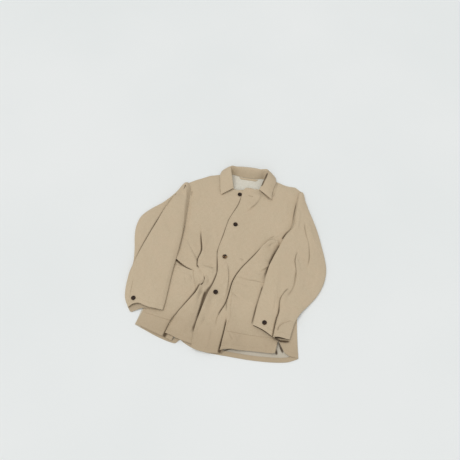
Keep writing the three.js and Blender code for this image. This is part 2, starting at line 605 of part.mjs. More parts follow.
// A button is a disc with a raised rim. It lies on the cloth at its place, tilted as the cloth is there.
function button({ name, on, at, radius }) {
  const half = buttonHeight / 2;
  const profile = [[0, -half], [radius - 0.8, -half], [radius, -0.4], [radius, half - 0.7], [radius - 0.8, half],
    [radius - 2.4, half], [radius - 3.4, half - 0.7], [0, half - 0.7]];
  const [x, y] = at;
  const slope = [
    (heightOn(on, x + radius, y) - heightOn(on, x - radius, y)) / (2 * radius),
    (heightOn(on, x, y + radius) - heightOn(on, x, y - radius)) / (2 * radius),
  ].map((rise) => Math.min(0.3, Math.max(-0.3, rise)));
  const clear = even(24).flatMap((t) =>
    [0, 0.5, 1].map((share) => {
      const [dx, dy] = [share * radius * Math.cos(2 * Math.PI * t), share * radius * Math.sin(2 * Math.PI * t)];
      return heightOn(on, x + dx, y + dy) - slope[0] * dx - slope[1] * dy;
    }),
  );
  const upright = new THREE.Vector3(-slope[0], -slope[1], 1).normalize();
  const geometry = new THREE.LatheGeometry(profile.map(([r, h]) => new THREE.Vector2(r, h)), 28);
  geometry.applyQuaternion(new THREE.Quaternion().setFromUnitVectors(new THREE.Vector3(0, 1, 0), upright));
  geometry.translate(x, y, Math.max(...clear) + (half + 0.3) / upright.z);
  return named(name, geometry, horn);
}

const root = new THREE.Group();
root.add(
  back(),
  backHemTurn(),
  neckFacing(),
  front("right"),
  front("left"),
  pocket("right"),
  pocket("left"),
  collar(),
  sleeve("sleeve_right", rightSleeve),
  sleeve("sleeve_left", leftSleeve),
);
const pieces = Object.fromEntries(root.children.map((mesh) => [mesh.name, mesh]));
const buttons = [
  { name: "button_neck", on: pieces.front_right, at: [-17, 326], radius: buttonRadius },
  { name: "button_chest", on: pieces.front_left, at: [-11, 188], radius: buttonRadius },
  { name: "button_waist", on: pieces.front_left, at: [-27, 48], radius: buttonRadius },
  { name: "button_hip", on: pieces.front_left, at: [-34, -93], radius: buttonRadius },
  { name: "button_cuff_right", on: pieces.sleeve_right, at: [-312, -165], radius: cuffButtonRadius },
  { name: "button_cuff_left", on: pieces.sleeve_left, at: [150, -176], radius: cuffButtonRadius },
];
root.add(...buttons.map(button));
root.position.set(-footprint.x, -footprint.y, 0);

export default root;
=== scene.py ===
import math

import bmesh
import bpy
import numpy as np
from mathutils import Matrix, Vector, noise


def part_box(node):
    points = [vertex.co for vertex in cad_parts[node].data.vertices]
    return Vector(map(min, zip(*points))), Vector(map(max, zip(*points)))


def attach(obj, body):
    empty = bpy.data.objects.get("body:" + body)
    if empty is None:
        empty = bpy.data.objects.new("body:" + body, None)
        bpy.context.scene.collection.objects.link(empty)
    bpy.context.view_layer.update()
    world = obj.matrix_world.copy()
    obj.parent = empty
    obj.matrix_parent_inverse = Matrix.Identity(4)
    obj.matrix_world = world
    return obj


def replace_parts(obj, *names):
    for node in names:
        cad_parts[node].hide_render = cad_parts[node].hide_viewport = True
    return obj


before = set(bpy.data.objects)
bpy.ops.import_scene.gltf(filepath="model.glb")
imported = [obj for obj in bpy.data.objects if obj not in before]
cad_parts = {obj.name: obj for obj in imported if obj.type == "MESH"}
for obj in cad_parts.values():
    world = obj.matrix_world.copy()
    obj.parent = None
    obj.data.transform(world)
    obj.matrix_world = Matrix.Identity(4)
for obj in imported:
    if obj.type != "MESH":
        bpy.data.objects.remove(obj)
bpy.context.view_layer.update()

# Tables are in millimetres on the laid-out jacket: centre line at x 0, wearer's left at +x, collar at +y.
layout = {
    "middle": (-19.3, 82.7), "cloth": 1.6, "gap": 0.3, "puff": 5.0, "sideRound": 45, "shoulderRound": 34,
}
seamTop = 2 * layout["cloth"] + layout["gap"]


def say(text):
    print("jacket:", text)


# numbers and curves; points are rows of x, y and sometimes z
def smooth(t):
    t = np.clip(t, 0, 1)
    return t * t * (3 - 2 * t)


def bell(t):
    return np.where(np.abs(t) < 1, np.cos(np.pi * np.clip(t, -1, 1) / 2) ** 2, 0.0)


def mix(a, b, t):
    return a + (b - a) * t


def curveAt(points, t):
    # a centripetal curve through the points, with an equal share of t for each span
    pts = np.array([list(p) + [0.0] * (3 - len(p)) for p in points], float)
    spans = len(pts) - 1
    place = np.clip(np.atleast_1d(np.asarray(t, float)), 0, 1) * spans
    i = np.minimum(place.astype(int), spans - 1)
    w = (place - i)[:, None]
    p1, p2 = pts[i], pts[i + 1]
    p0 = np.where((i > 0)[:, None], pts[np.maximum(i - 1, 0)], 2 * pts[0] - pts[1])
    p3 = np.where((i < spans - 1)[:, None], pts[np.minimum(i + 2, spans)], 2 * pts[-1] - pts[-2])
    d0, d1, d2 = (
        np.sqrt(np.linalg.norm(b - a, axis=1))[:, None] for a, b in ((p0, p1), (p1, p2), (p2, p3))
    )
    m1 = ((p1 - p0) / d0 - (p2 - p0) / (d0 + d1) + (p2 - p1) / d1) * d1
    m2 = ((p2 - p1) / d1 - (p3 - p1) / (d1 + d2) + (p3 - p2) / d2) * d1
    return p1 + m1 * w + (3 * (p2 - p1) - 2 * m1 - m2) * w**2 + (2 * (p1 - p2) + m1 + m2) * w**3


def curveByLength(points, share):
    t = np.linspace(0, 1, 600)
    line = curveAt(points, t)
    run = np.concatenate([[0], np.cumsum(np.linalg.norm(np.diff(line, axis=0), axis=1))])
    return curveAt(points, np.interp(np.asarray(share) * run[-1], run, t))


def lineAt(points, x):
    across = sorted(points, key=lambda p: p[0])
    return np.interp(x, [p[0] for p in across], [p[1] for p in across])


def sideAt(sections, column, y):
    return np.interp(y, [row[column][1] for row in sections], [row[column][0] for row in sections])


# folds
def fold(path, high, rise, steep, slope, lean=0, fade=(0.2, 0.2), shade=0):
    return {"path": path, "high": high, "rise": rise, "steep": steep, "slope": slope, "lean": lean, "fade": fade,
            "shade": shade}


# a sunk line with painted shade along it; shade sets how dark the painted shade is
def groove(path, deep, fade=(0.2, 0.2), wide=5.5, shade=None):
    return fold(path, "right", -deep, wide, wide, 0, fade, deep / 4.5 if shade is None else shade)


# a shallow crease with painted shade along it
def soft(path, shade, wide=6, deep=1.3, fade=(0.3, 0.3)):
    return groove(path, deep, fade, wide, shade)


foldLook = {
    "steps": 26,  # straight lengths that a fold's path is cut into
    "uneven": 0.16,  # how much a fold grows and shrinks along its path
    "lipReach": 13,  # how far a lip's painted shade goes out over the cloth
    "hollowReach": 16,  # and in below the lip
    "lipStart": 3,  # the lean at which painted shade begins
    "lipFull": 9,  # and how much more lean makes it full
    "leans": 5,  # folds that lean less than this have no lip and no painted shade under it
}


def ends(value):
    return value if isinstance(value, tuple) else (value, value)


def foldsAt(folds, x, y):
    # what the folds give each point: its rise, its sideways lean and the painted shade it gets
    rise, dx, dy, deep = (np.zeros_like(x) for _ in range(4))
    steps = foldLook["steps"]
    for number, f in enumerate(folds):
        line = curveAt(f["path"], np.linspace(0, 1, steps + 1))[:, :2]
        reach = max(ends(f["slope"])) + f["steep"] + max(map(abs, ends(f["lean"]))) + 2
        near = (
            (x > line[:, 0].min() - reach) & (x < line[:, 0].max() + reach)
            & (y > line[:, 1].min() - reach) & (y < line[:, 1].max() + reach)
        )
        if not near.any():
            continue
        a, d = line[:-1], np.diff(line, axis=0)
        long = np.hypot(d[:, 0], d[:, 1])
        px, py = x[near][:, None] - a[:, 0], y[near][:, None] - a[:, 1]
        t = np.clip((px * d[:, 0] + py * d[:, 1]) / long**2, 0, 1)
        rx, ry = px - t * d[:, 0], py - t * d[:, 1]
        k = np.argmin(rx**2 + ry**2, axis=1)
        one = np.arange(len(k))
        rx, ry, t = rx[one, k], ry[one, k], t[one, k]
        nx, ny = d[k, 1] / long[k], -d[k, 0] / long[k]
        turn = 1 if f["high"] == "right" else -1
        away = np.where((rx * nx + ry * ny) * turn < 0, -1, 1) * np.hypot(rx, ry)
        s = (k + t) / steps
        grow, die = f["fade"]
        strength = (smooth(s / grow) if grow else 1) * (smooth((1 - s) / die) if die else 1)
        strength = strength * (1 + foldLook["uneven"] * np.sin(9 * s + 2.3 * number))
        lean, high, slope = (mix(*ends(f[key]), s) for key in ("lean", "rise", "slope"))
        past = away - lean * strength
        share = strength * bell(past / np.where(past > 0, slope, f["steep"]))
        # a lapped fold's middle layer drops away from its lip
        undercut = 1 + 1.5 * smooth(np.abs(lean) / 12) + np.abs(lean) / 15
        rise[near] += high * np.where(past < 0, share**undercut, share)
        dx[near] -= lean * share * nx * turn
        dy[near] -= lean * share * ny * turn
        # painted shade along folds that carry their own shade value
        if f["shade"]:
            deep[near] = np.maximum(deep[near], share * f["shade"])
        elif max(ends(f["lean"])) > foldLook["leans"]:  # painted shade under a lip, where no light gets in
            inside = (1 - smooth(share * 1.4)) * bell(away / foldLook["hollowReach"])
            hidden = np.where(away < 0, bell(away / foldLook["lipReach"]), np.where(past < 0, inside, 0))
            lipped = smooth((lean * strength - foldLook["lipStart"]) / foldLook["lipFull"])
            deep[near] = np.maximum(deep[near], hidden * lipped)
    return rise, dx, dy, deep


def crumple(x, y, seed, sizes=((70, 0.9), (28, 0.65), (12, 0.28)), stretch=(1.0, 0.6)):
    # low uneven waves of washed cotton: (size, height) rows
    z = np.zeros_like(x)
    flat = z.ravel()
    for size, height in sizes:
        for i, (px, py) in enumerate(zip(x.ravel(), y.ravel())):
            at = (px / size * stretch[0] + seed * 7.1, py / size * stretch[1] - seed * 3.7, seed)
            flat[i] += height * noise.noise(at)
    return z


# pieces
def addPiece(name, bm, materials):
    mesh = bpy.data.meshes.new(name)
    bm.to_mesh(mesh)
    bm.free()
    for key in materials:
        mesh.materials.append(finishes[key])
    piece = bpy.data.objects.new(name, mesh)
    bpy.context.collection.objects.link(piece)
    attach(piece, "root")
    return piece


# cloth panels
def gridNormals(p, around=False):
    if around:
        across = np.roll(p, -1, axis=1) - np.roll(p, 1, axis=1)
    else:
        across = np.empty_like(p)
        across[:, 1:-1] = p[:, 2:] - p[:, :-2]
        across[:, 0], across[:, -1] = p[:, 1] - p[:, 0], p[:, -1] - p[:, -2]
    along = np.empty_like(p)
    along[1:-1] = p[2:] - p[:-2]
    along[0], along[-1] = p[1] - p[0], p[-1] - p[-2]
    n = np.cross(across, along)
    return n / np.maximum(np.linalg.norm(n, axis=2, keepdims=True), 1e-9)


def edgeDistances(p):
    # how far each point lies from the panel's four edges, along the cloth
    alongRows, alongCols = (
        np.concatenate([np.zeros_like(first), np.cumsum(np.linalg.norm(np.diff(p, axis=axis), axis=2), axis=axis)], axis)
        for first, axis in ((p[:, :1, 0], 1), (p[:1, :, 0], 0))
    )
    return {
        "start": alongRows,
        "end": alongRows[:, -1:] - alongRows,
        "low": alongCols,
        "high": alongCols[-1:] - alongCols,
    }


def toMetres(p):
    p = np.asarray(p, float)
    mx, my = layout["middle"]
    return np.stack([(p[..., 0] - mx) / 1000, (p[..., 1] - my) / 1000, p[..., 2] / 1000], axis=-1)


sewn = []  # every row of stitches: its points and normals in mm, and its pitch
shellLook = {"lipWall": 0.12, "steep": 0.15, "flat": 0.5}  # the wall's least share, and where it is full


def clothPanel(name, p, cut, lines=(), around=False, wall=1.6, materials=("cottonFace", "cottonBack"), deep=None):
    # p is a grid of points in mm, its outer side up or out, and cut holds the flat cloth's coordinates;
    # a row of lines: an edge, the seam's distance from it, its first and last share, and its pitch
    # deep holds each point's painted shade, stored as the deep attribute
    rows, cols = p.shape[:2]
    bm = bmesh.new()
    bmesh.ops.create_grid(bm, x_segments=cols - 1, y_segments=rows - 1, size=0.5)
    if len(bm.verts) != rows * cols:
        raise ValueError(f"{name}: the grid has {len(bm.verts)} points, not {rows * cols}")
    distances = edgeDistances(p)
    seamLayers = [bm.verts.layers.float.new(f"seam{letter}") for letter in "ABC"]
    # painted shade per point, read by the cloth's colour
    paintedShadeLayer = bm.verts.layers.float.new("deep")
    lipLayer = bm.verts.layers.float.new("lip")
    weightLayer = bm.verts.layers.deform.verify()
    uv = bm.loops.layers.uv.new("cloth")
    level = np.abs(gridNormals(p, around)[..., 2])
    for axis in (0, 1, 0, 1):  # the wall thins where the cloth turns over in a lip
        wide = np.concatenate([np.take(level, [0], axis), level, np.take(level, [-1], axis)], axis)
        level = np.minimum(np.minimum(np.take(wide, range(2, wide.shape[axis]), axis), level),
                           np.take(wide, range(wide.shape[axis] - 2), axis))
    full = mix(shellLook["lipWall"], 1.0, smooth((level - shellLook["steep"]) / shellLook["flat"]))
    metres, flat = toMetres(p), np.asarray(cut) / 1000
    places = {}
    for v in bm.verts:
        i, j = round((v.co.y + 0.5) * (rows - 1)), round((v.co.x + 0.5) * (cols - 1))
        places[v.index] = (i, j)
    for v in bm.verts:
        i, j = places[v.index]
        v.co = metres[i, j]
        for k, layer in enumerate(seamLayers):
            v[layer] = (distances[lines[k][0]][i, j] - lines[k][1]) / 1000 if k < len(lines) else 1.0
        v[paintedShadeLayer] = 0.0 if deep is None else deep[i, j]
        v[weightLayer][0] = 1.0 if around else full[i, j]
        v[lipLayer] = 1 - full[i, j]
    for face in bm.faces:
        face.smooth = True
        for loop in face.loops:
            loop[uv].uv = flat[places[loop.vert.index]]
    if around:
        bmesh.ops.remove_doubles(bm, verts=bm.verts, dist=1e-6)
    for edge in bm.edges:
        edge.smooth = not edge.is_boundary
    piece = addPiece(name, bm, materials)
    piece.vertex_groups.new(name="wall")
    shell = piece.modifiers.new("wall", "SOLIDIFY")
    shell.vertex_group = "wall"
    shell.thickness = wall / 1000
    shell.offset = -1
    shell.use_quality_normals = True
    shell.material_offset = 1
    shell.material_offset_rim = 0
    normals = gridNormals(p, around)
    for edge, distance, begin, finish, pitch in lines:
        sewn.append((stitchLine(p, normals, distances, edge, distance, begin, finish), pitch))
    return piece


def stitchLine(p, normals, distances, edge, distance, begin, finish):
    # points on the cloth at a distance from one edge, from one share of that edge to another
    field = distances[edge]
    points, ups = [], []
    sideways = edge in ("low", "high")
    count = field.shape[1] if sideways else field.shape[0]
    for k in range(round(begin * (count - 1)), round(finish * (count - 1)) + 1):
        run = field[:, k] if sideways else field[k, :]
        line, up = (p[:, k], normals[:, k]) if sideways else (p[k], normals[k])
        if edge in ("high", "end"):
            run, line, up = run[::-1], line[::-1], up[::-1]
        if run[-1] < distance:
            continue
        points.append([np.interp(distance, run, line[:, axis]) for axis in range(3)])
        ups.append([np.interp(distance, run, up[:, axis]) for axis in range(3)])
    return np.array(points), np.array(ups)


# materials
class Wire:
    def __init__(self, shader, socket):
        self.shader, self.socket = shader, socket

    def maths(self, operation, other=None, swapped=False):
        values = [self, other] if other is not None else [self]
        if swapped:
            values.reverse()
        return self.shader.add("ShaderNodeMath", {"operation": operation}, dict(enumerate(values)))

    def __add__(self, other):
        return self.maths("ADD", other)

    __radd__ = __add__

    def __sub__(self, other):
        return self.maths("SUBTRACT", other)

    def __rsub__(self, other):
        return self.maths("SUBTRACT", other, True)

    def __mul__(self, other):
        return self.maths("MULTIPLY", other)

    __rmul__ = __mul__

    def sin(self):
        return self.maths("SINE")

    def abs(self):
        return self.maths("ABSOLUTE")

    def max(self, other):
        return self.maths("MAXIMUM", other)

    def clipped(self, low, high):
        settings = {"interpolation_type": "SMOOTHSTEP"}
        return self.shader.add("ShaderNodeMapRange", settings, {"Value": self, "From Min": low, "From Max": high})


class Shader:
    def __init__(self, name):
        self.material = bpy.data.materials.new(name)
        self.material.use_nodes = True
        self.tree = self.material.node_tree
        self.surface = self.tree.nodes["Principled BSDF"]

    def add(self, kind, settings=None, inputs=None, out=0):
        node = self.tree.nodes.new(kind)
        for key, value in (settings or {}).items():
            setattr(node, key, value)
        for key, value in (inputs or {}).items():
            self.feed(node.inputs[key], value)
        return Wire(self, node.outputs[out])

    def feed(self, socket, value):
        if isinstance(value, Wire):
            self.tree.links.new(value.socket, socket)
        else:
            socket.default_value = value

    def split(self, vector):
        return [self.add("ShaderNodeSeparateXYZ", None, {"Vector": vector}, out) for out in range(3)]

    def joined(self, x, y, z=0.0):
        return self.add("ShaderNodeCombineXYZ", None, {"X": x, "Y": y, "Z": z})

    def noise(self, at, scale, detail=2.0, rough=0.5):
        inputs = {"Vector": at, "Scale": scale, "Detail": detail, "Roughness": rough}
        return self.add("ShaderNodeTexNoise", None, inputs)

    def blend(self, share, a, b):
        return self.add("ShaderNodeMix", {"data_type": "RGBA"}, {0: share, 6: a, 7: b}, 2)

    def bumped(self, height, strength, distance, under=None):
        inputs = {"Height": height, "Strength": strength, "Distance": distance}
        if under is not None:
            inputs["Normal"] = under
        return self.add("ShaderNodeBump", None, inputs)

    def finish(self, **values):
        for key, value in values.items():
            self.feed(self.surface.inputs[key.replace("_", " ")], value)
        return self.material


def srgb(r, g, b):
    return tuple(c / 255 / 12.92 if c <= 10 else ((c / 255 + 0.055) / 1.055) ** 2.4 for c in (r, g, b)) + (1.0,)


cottonLook = {
    "face": srgb(202, 186, 160),
    "faceDark": srgb(187, 169, 141),
    "faceWarm": srgb(202, 180, 153),
    "back": srgb(226, 222, 210),
    "backDark": srgb(203, 198, 182),
    # painted shade: the colour of the cloth in deep folds, creases and under lips
    "deep": srgb(74, 56, 36),
    # painted shade: the colour the cloth darkens to towards the hem
    "worn": srgb(163, 143, 116),
    "hemShade": 0.45,
    "paintedShadeShare": 0.88,
    "seamWide": 0.0017,
    "ridgeAt": 0.0034,
    "ridgeWide": 0.0026,
    "threadPitch": 0.00085,
    "slubAcross": 1500.0,
    "slubAlong": 70.0,
}


def cotton(name, light, dark, warm, lipColour=None):
    # plain-woven slubby cotton: the two sets of threads, their thick places, and washed seams, with painted shade
    # towards the hem and in folds
    m = Shader(name)
    cloth = m.add("ShaderNodeUVMap", {"uv_map": "cloth"})
    u, v, _ = m.split(cloth)
    turn = 2 * math.pi / cottonLook["threadPitch"]
    warp, weft = (u * turn).sin(), (v * turn).sin()
    weave = warp * weft
    across, along = cottonLook["slubAcross"], cottonLook["slubAlong"]
    slubWarp = m.noise(m.joined(u * across, v * along), 1.0, 2.0)
    slubWeft = m.noise(m.joined(u * along, v * across), 1.0, 2.0)
    slub = (slubWarp + slubWeft) * 0.5
    washed = m.noise(cloth, 22.0, 3.0, 0.6)
    patches = m.noise(cloth, 7.0, 2.0, 0.5)
    seams = [m.add("ShaderNodeAttribute", {"attribute_name": f"seam{letter}"}, None, 2) for letter in "ABC"]
    line, ridge = None, None
    for seam in seams:
        groove = 1 - seam.abs().clipped(0.0, cottonLook["seamWide"])
        swell = 1 - (seam.abs() - cottonLook["ridgeAt"]).abs().clipped(0.0, cottonLook["ridgeWide"])
        line = groove if line is None else line.max(groove)
        ridge = swell if ridge is None else ridge.max(swell)
    pucker = m.noise(cloth, 260.0, 1.0) * ridge
    colour = m.blend(slub.clipped(0.34, 0.66), dark, light)
    colour = m.blend(washed.clipped(0.3, 0.75) * 0.35, colour, warm)
    colour = m.blend(patches.clipped(0.35, 0.7) * 0.18, colour, dark)
    colour = m.blend(line * 0.14, colour, dark)
    colour = m.blend(ridge * 0.12, colour, light)
    paintedShade = m.add("ShaderNodeAttribute", {"attribute_name": "deep"}, None, 2)
    # painted shade: the cloth darkens towards the hem
    colour = m.blend((0 - v).clipped(0.12, 0.3) * cottonLook["hemShade"], colour, cottonLook["worn"])
    # painted shade in folds, creases and under lips, from the deep attribute
    colour = m.blend(paintedShade.clipped(0.2, 0.95) * cottonLook["paintedShadeShare"], colour, cottonLook["deep"])
    if lipColour is not None:  # the inner side takes the face's colour where a fold's lip turns over
        lip = m.add("ShaderNodeAttribute", {"attribute_name": "lip"}, None, 2)
        colour = m.blend(lip.clipped(0.1, 0.6), colour, lipColour)
    fine = m.bumped(weave * 0.5 + slub * 0.8, 0.35, 0.00022)
    sewnIn = m.bumped(pucker * 0.9 - line * 0.6, 0.3, 0.0008, fine)
    return m.finish(
        Base_Color=colour, Roughness=0.86 + 0.1 * slub, Normal=sewnIn,
        Sheen_Weight=0.18, Sheen_Roughness=0.45, Sheen_Tint=(1.0, 0.97, 0.92, 1.0), Specular_IOR_Level=0.25,
    )


def threadFinish():
    m = Shader("sewing thread")
    at = m.add("ShaderNodeTexCoord", None, None, 3)
    twist = m.noise(at, 1400.0, 1.0)
    colour = m.blend(twist.clipped(0.35, 0.65), srgb(178, 158, 126), srgb(203, 187, 158))
    return m.finish(Base_Color=colour, Roughness=0.7 + 0.15 * twist, Sheen_Weight=0.1)


def hornFinish(name, pale, share):
    m = Shader(name)
    at = m.add("ShaderNodeTexCoord", None, None, 3)
    x, y, z = m.split(at)
    bands = m.noise(m.joined(x * 60, y * 190, z * 60), 1.0, 3.0, 0.6)
    fleck = m.noise(at, 900.0, 2.0)
    colour = m.blend(bands.clipped(*share), srgb(27, 15, 6), pale)
    colour = m.blend(fleck.clipped(0.6, 0.8) * 0.4, colour, srgb(18, 12, 9))
    bump = m.bumped(bands + fleck * 0.3, 0.2, 0.0002)
    return m.finish(Base_Color=colour, Roughness=0.4 + 0.25 * fleck, Normal=bump, Specular_IOR_Level=0.25)


def plainFinish(name, colour):
    return Shader(name).finish(Base_Color=colour, Roughness=0.8)


def floorFinish():
    m = Shader("pale floor")
    at = m.add("ShaderNodeTexCoord", None, None, 3)
    cloudy = m.noise(at, 1.1, 3.0)
    colour = m.blend(cloudy.clipped(0.3, 0.7), srgb(232, 235, 234), srgb(236, 238, 237))
    return m.finish(Base_Color=colour, Roughness=0.75, Specular_IOR_Level=0.2)


finishes = {
    "cottonFace": cotton("washed cotton face", cottonLook["face"], cottonLook["faceDark"], cottonLook["faceWarm"]),
    "cottonBack": cotton("undyed cotton back", cottonLook["back"], cottonLook["backDark"], cottonLook["back"],
                         cottonLook["faceDark"]),
    "thread": threadFinish(),
    "horn": hornFinish("dark horn", srgb(84, 54, 27), (0.44, 0.76)),
    "paleHorn": hornFinish("streaked horn", srgb(150, 116, 78), (0.46, 0.6)),
    # painted shade: a near-black finish stands for the open holes of the buttons and the buttonholes' slits
    "hole": plainFinish("painted shade in holes", srgb(16, 12, 10)),
    "darkThread": plainFinish("dark thread", srgb(52, 39, 30)),
    "floor": floorFinish(),
}
say("materials made")

# camera, floor and light
view = {
    "from": (113.1, -635.0, 1500.0),
    "along": (-0.0829, 0.4699, -0.8788),
    "lens": 35.04,
    "keyFrom": (-0.32, 0.1, 0.94),
    "keyStrength": 1.03,
    "keySpread": 40,
    "fillFrom": (0.1, -0.75, 0.65),
    "fillStrength": 0.56,
    "fillSpread": 60,
    "sky": 0.535,
    "skyColour": (0.985, 0.995, 1.0, 1.0),
    "floorSize": 7.0,
}


def makeView():
    camera = bpy.data.objects.new("camera", bpy.data.cameras.new("camera"))
    bpy.context.collection.objects.link(camera)
    camera.location = Vector(toMetres(view["from"]))
    camera.rotation_euler = Vector(view["along"]).to_track_quat("-Z", "Y").to_euler()
    camera.data.lens = view["lens"]
    camera.data.sensor_width = 36
    camera.data.clip_start = 0.05
    bpy.context.scene.camera = camera

    bm = bmesh.new()
    bmesh.ops.create_grid(bm, x_segments=8, y_segments=8, size=view["floorSize"])
    mesh = bpy.data.meshes.new("floor")
    bm.to_mesh(mesh)
    bm.free()
    mesh.materials.append(finishes["floor"])
    floor = bpy.data.objects.new("floor", mesh)
    floor.location.z = -0.0002
    bpy.context.collection.objects.link(floor)

    for name, comesFrom, strength, spread in (
        ("key", view["keyFrom"], view["keyStrength"], view["keySpread"]),
        ("fill", view["fillFrom"], view["fillStrength"], view["fillSpread"]),
    ):
        lamp = bpy.data.objects.new(name, bpy.data.lights.new(name, "SUN"))
        lamp.data.energy, lamp.data.angle = strength, math.radians(spread)
        lamp.rotation_euler = (-Vector(comesFrom)).to_track_quat("-Z", "Y").to_euler()
        bpy.context.collection.objects.link(lamp)
    world = bpy.data.worlds.new("soft room")
    bpy.context.scene.world = world
    world.use_nodes = True
    room = world.node_tree.nodes["Background"]
    room.inputs["Color"].default_value = view["skyColour"]
    room.inputs["Strength"].default_value = view["sky"]
    bpy.context.scene.view_settings.view_transform = "Standard"


makeView()

# the two fronts, as sections from the hem up
def sections(columns, rows):
    return [dict(zip(columns, row)) for row in rows]


rightFront = sections(("side", "outer", "inner", "fold", "edge"), [
    [(-284, -251), (-272, -253), (-150, -284), (-133, -276), (-25, -290)],
    [(-272, -204), (-262, -206), (-141, -222), (-127, -221), (-20, -215)],
    [(-266, -110), (-257, -108), (-104, -115), (-89, -115), (-12, -115)],
    [(-263, -12), (-246, -4), (-130, -26), (-106, -28), (-5, -20)],
    [(-254, 60), (-225, 60), (-140, 60), (-109, 60), (2, 60)],
    [(-206, 150), (-190, 148), (-158, 146), (-131, 146), (4, 140)],
    [(-213, 222), (-203, 221), (-184, 220), (-162, 219), (3, 215)],
    [(-221, 285), (-208, 286), (-190, 287), (-165, 288), (0, 290)],
    [(-229, 322), (-216, 324), (-196, 328), (-166, 333), (2, 349)],
    [(-232, 332), (-219, 336), (-200, 342), (-168, 346), (-45, 345)],
    [(-234, 339), (-222, 347), (-204, 356), (-170, 366), (-66, 378)],
    [(-236, 345), (-224, 353), (-206, 365), (-172, 386), (-78, 420)],
])
leftFront = sections(("edge", "fold", "inner", "outer", "side"), [
    [(-78, -296), (-7, -304), (38, -277), (214, -252), (277, -270)],
    [(-80, -232), (-6, -222), (38, -223), (214, -220), (266, -205)],
    [(-60, -110), (21, -110), (38, -118), (212, -118), (257, -110)],
    [(-42, -18), (30, -30), (38, -30), (208, -24), (252, -20)],
    [(-56, 66), (82, 56), (100, 57), (205, 60), (240, 60)],
    [(-47, 136), (124, 129), (134, 130), (152, 131), (176, 131)],
    [(-38, 206), (154, 208), (164, 209), (183, 210), (209, 210)],
    [(-13, 280), (154, 280), (168, 280), (188, 280), (214, 280)],
    [(1, 360), (152, 352), (170, 351), (194, 350), (220, 350)],
    [(50, 360), (150, 368), (171, 367), (198, 366), (223, 365)],
    [(70, 384), (150, 384), (172, 381), (201, 378), (225, 375)],
    [(80, 420), (150, 404), (172, 399), (203, 396), (224, 382)],
])
fronts = {
    "right": {
        "sections": rightFront,
        "hem": [(-25, -290), (-83, -284), (-95, -283), (-108, -281), (-118, -277), (-134, -275), (-141, -264),
                (-147, -285), (-160, -282), (-184, -275), (-215, -268), (-250, -258), (-284, -250)],
        "shoulder": [(-78, 420), (-108, 411), (-150, 398), (-200, 369), (-236, 345)],
        "spans": [("side", "outer", 8, 1.0), ("outer", "inner", 62, 1.0), ("inner", "fold", 16, 1.0),
                  ("fold", "edge", 66, 1.3)],
        "seed": 3.0,
    },
    "left": {
        "sections": leftFront,
        "hem": [(-78, -296), (-60, -302), (-20, -304), (8, -300), (24, -297), (29, -284), (35, -291),
                (45, -285), (60, -279), (70, -279), (120, -274), (189, -270), (199, -268), (201, -246),
                (202, -232), (206, -225), (211, -233), (221, -248), (231, -261), (246, -268), (277, -270)],
        "shoulder": [(80, 420), (112, 415), (150, 404), (172, 399), (196, 401), (224, 382)],
        "spans": [("edge", "fold", 62, 0.8), ("fold", "inner", 28, 1.0), ("inner", "outer", 52, 1.15),
                  ("outer", "side", 12, 1.0)],
        "seed": 5.0,
    },
}
frontRows = [18, 24, 24, 18, 18, 18, 18, 18, 5, 4, 8]  # rows of cloth between one section and the next
# shade, shadeReach and shadeFrom set the painted shade on the right front beside the left front's edge
lap = {"width": 62, "ply": 2.6, "under": 3.6, "sink": 26, "shade": 0.82, "shadeReach": 10, "shadeFrom": -268}

mainFolds = {
    "right": [
        fold([(-175, -272), (-161, -218), (-150, -195), (-128, -152), (-106, -109), (-96, -76), (-89, -44)],
             "right", (7.5, 8), 13, 62, (42, 3), (0, 0.2)),
        fold([(-100, -270), (-88, -160), (-82, -90), (-84, -40)], "left", 4, 20, 30, 4, (0.1, 0.3)),
        fold([(-92, -52), (-112, -16), (-138, 24), (-172, 66), (-204, 100)], "left", 5, 18, 32, 2,
             (0.25, 0.5)),
        fold([(-113, -20), (-120, 14), (-114, 60), (-123, 100), (-139, 152), (-168, 202)],
             "right", 6.5, 11, 40, (19, 10), (0.12, 0.5)),
        fold([(-112, -12), (-84, -8), (-52, -14)], "right", 4.5, 12, 24, 4, (0.3, 0.15)),
    ],
    "left": [
        fold([(-11, -222), (-7, -172), (10, -130), (16, -84), (21, -40), (40, 8), (68, 52), (99, 100),
              (124, 136),
              (156, 166), (186, 186)], "right", (6, 7.5), 12, 44, (14, 12), (0.2, 0.3)),
        fold([(17, -292), (22, -227), (25, -172), (28, -140)], "right", 6, 10, 38, (18, 2), (0, 0.6)),
        fold([(2, -130), (1, -70), (-3, -23), (-12, 10), (-26, 34)], "left", 3.5, 12, 30, 5, (0.4, 0.3)),
        fold([(92, 70), (119, 106), (140, 133), (166, 142)], "right", 5, 12, 26, 3, (0.4, 0.1)),
        fold([(92, 6), (118, 26), (142, 48)], "left", 4.5, 14, 30, 5, (0.4, 0.1)),
        fold([(-8, 240), (28, 266), (50, 295), (60, 322), (64, 350)], "left", 5.5, 18, 40, 5, (0.3, 0.2)),
        fold([(62, -276), (54, -242), (36, -212)], "right", 6, 22, 44, 2, (0, 0.6)),
        fold([(198, -276), (201, -240), (206, -196)], "left", 9, 8, 26, 0, (0, 0.5)),
        fold([(30, -284), (52, -270), (70, -240), (74, -214)], "left", 5, 14, 20, 3, (0, 0.6)),
        fold([(-78, -230), (-66, -180), (-60, -120), (-54, -78)], "right", 6.5, 30, 26, 0, (0.25, 0.35)),
    ],
}
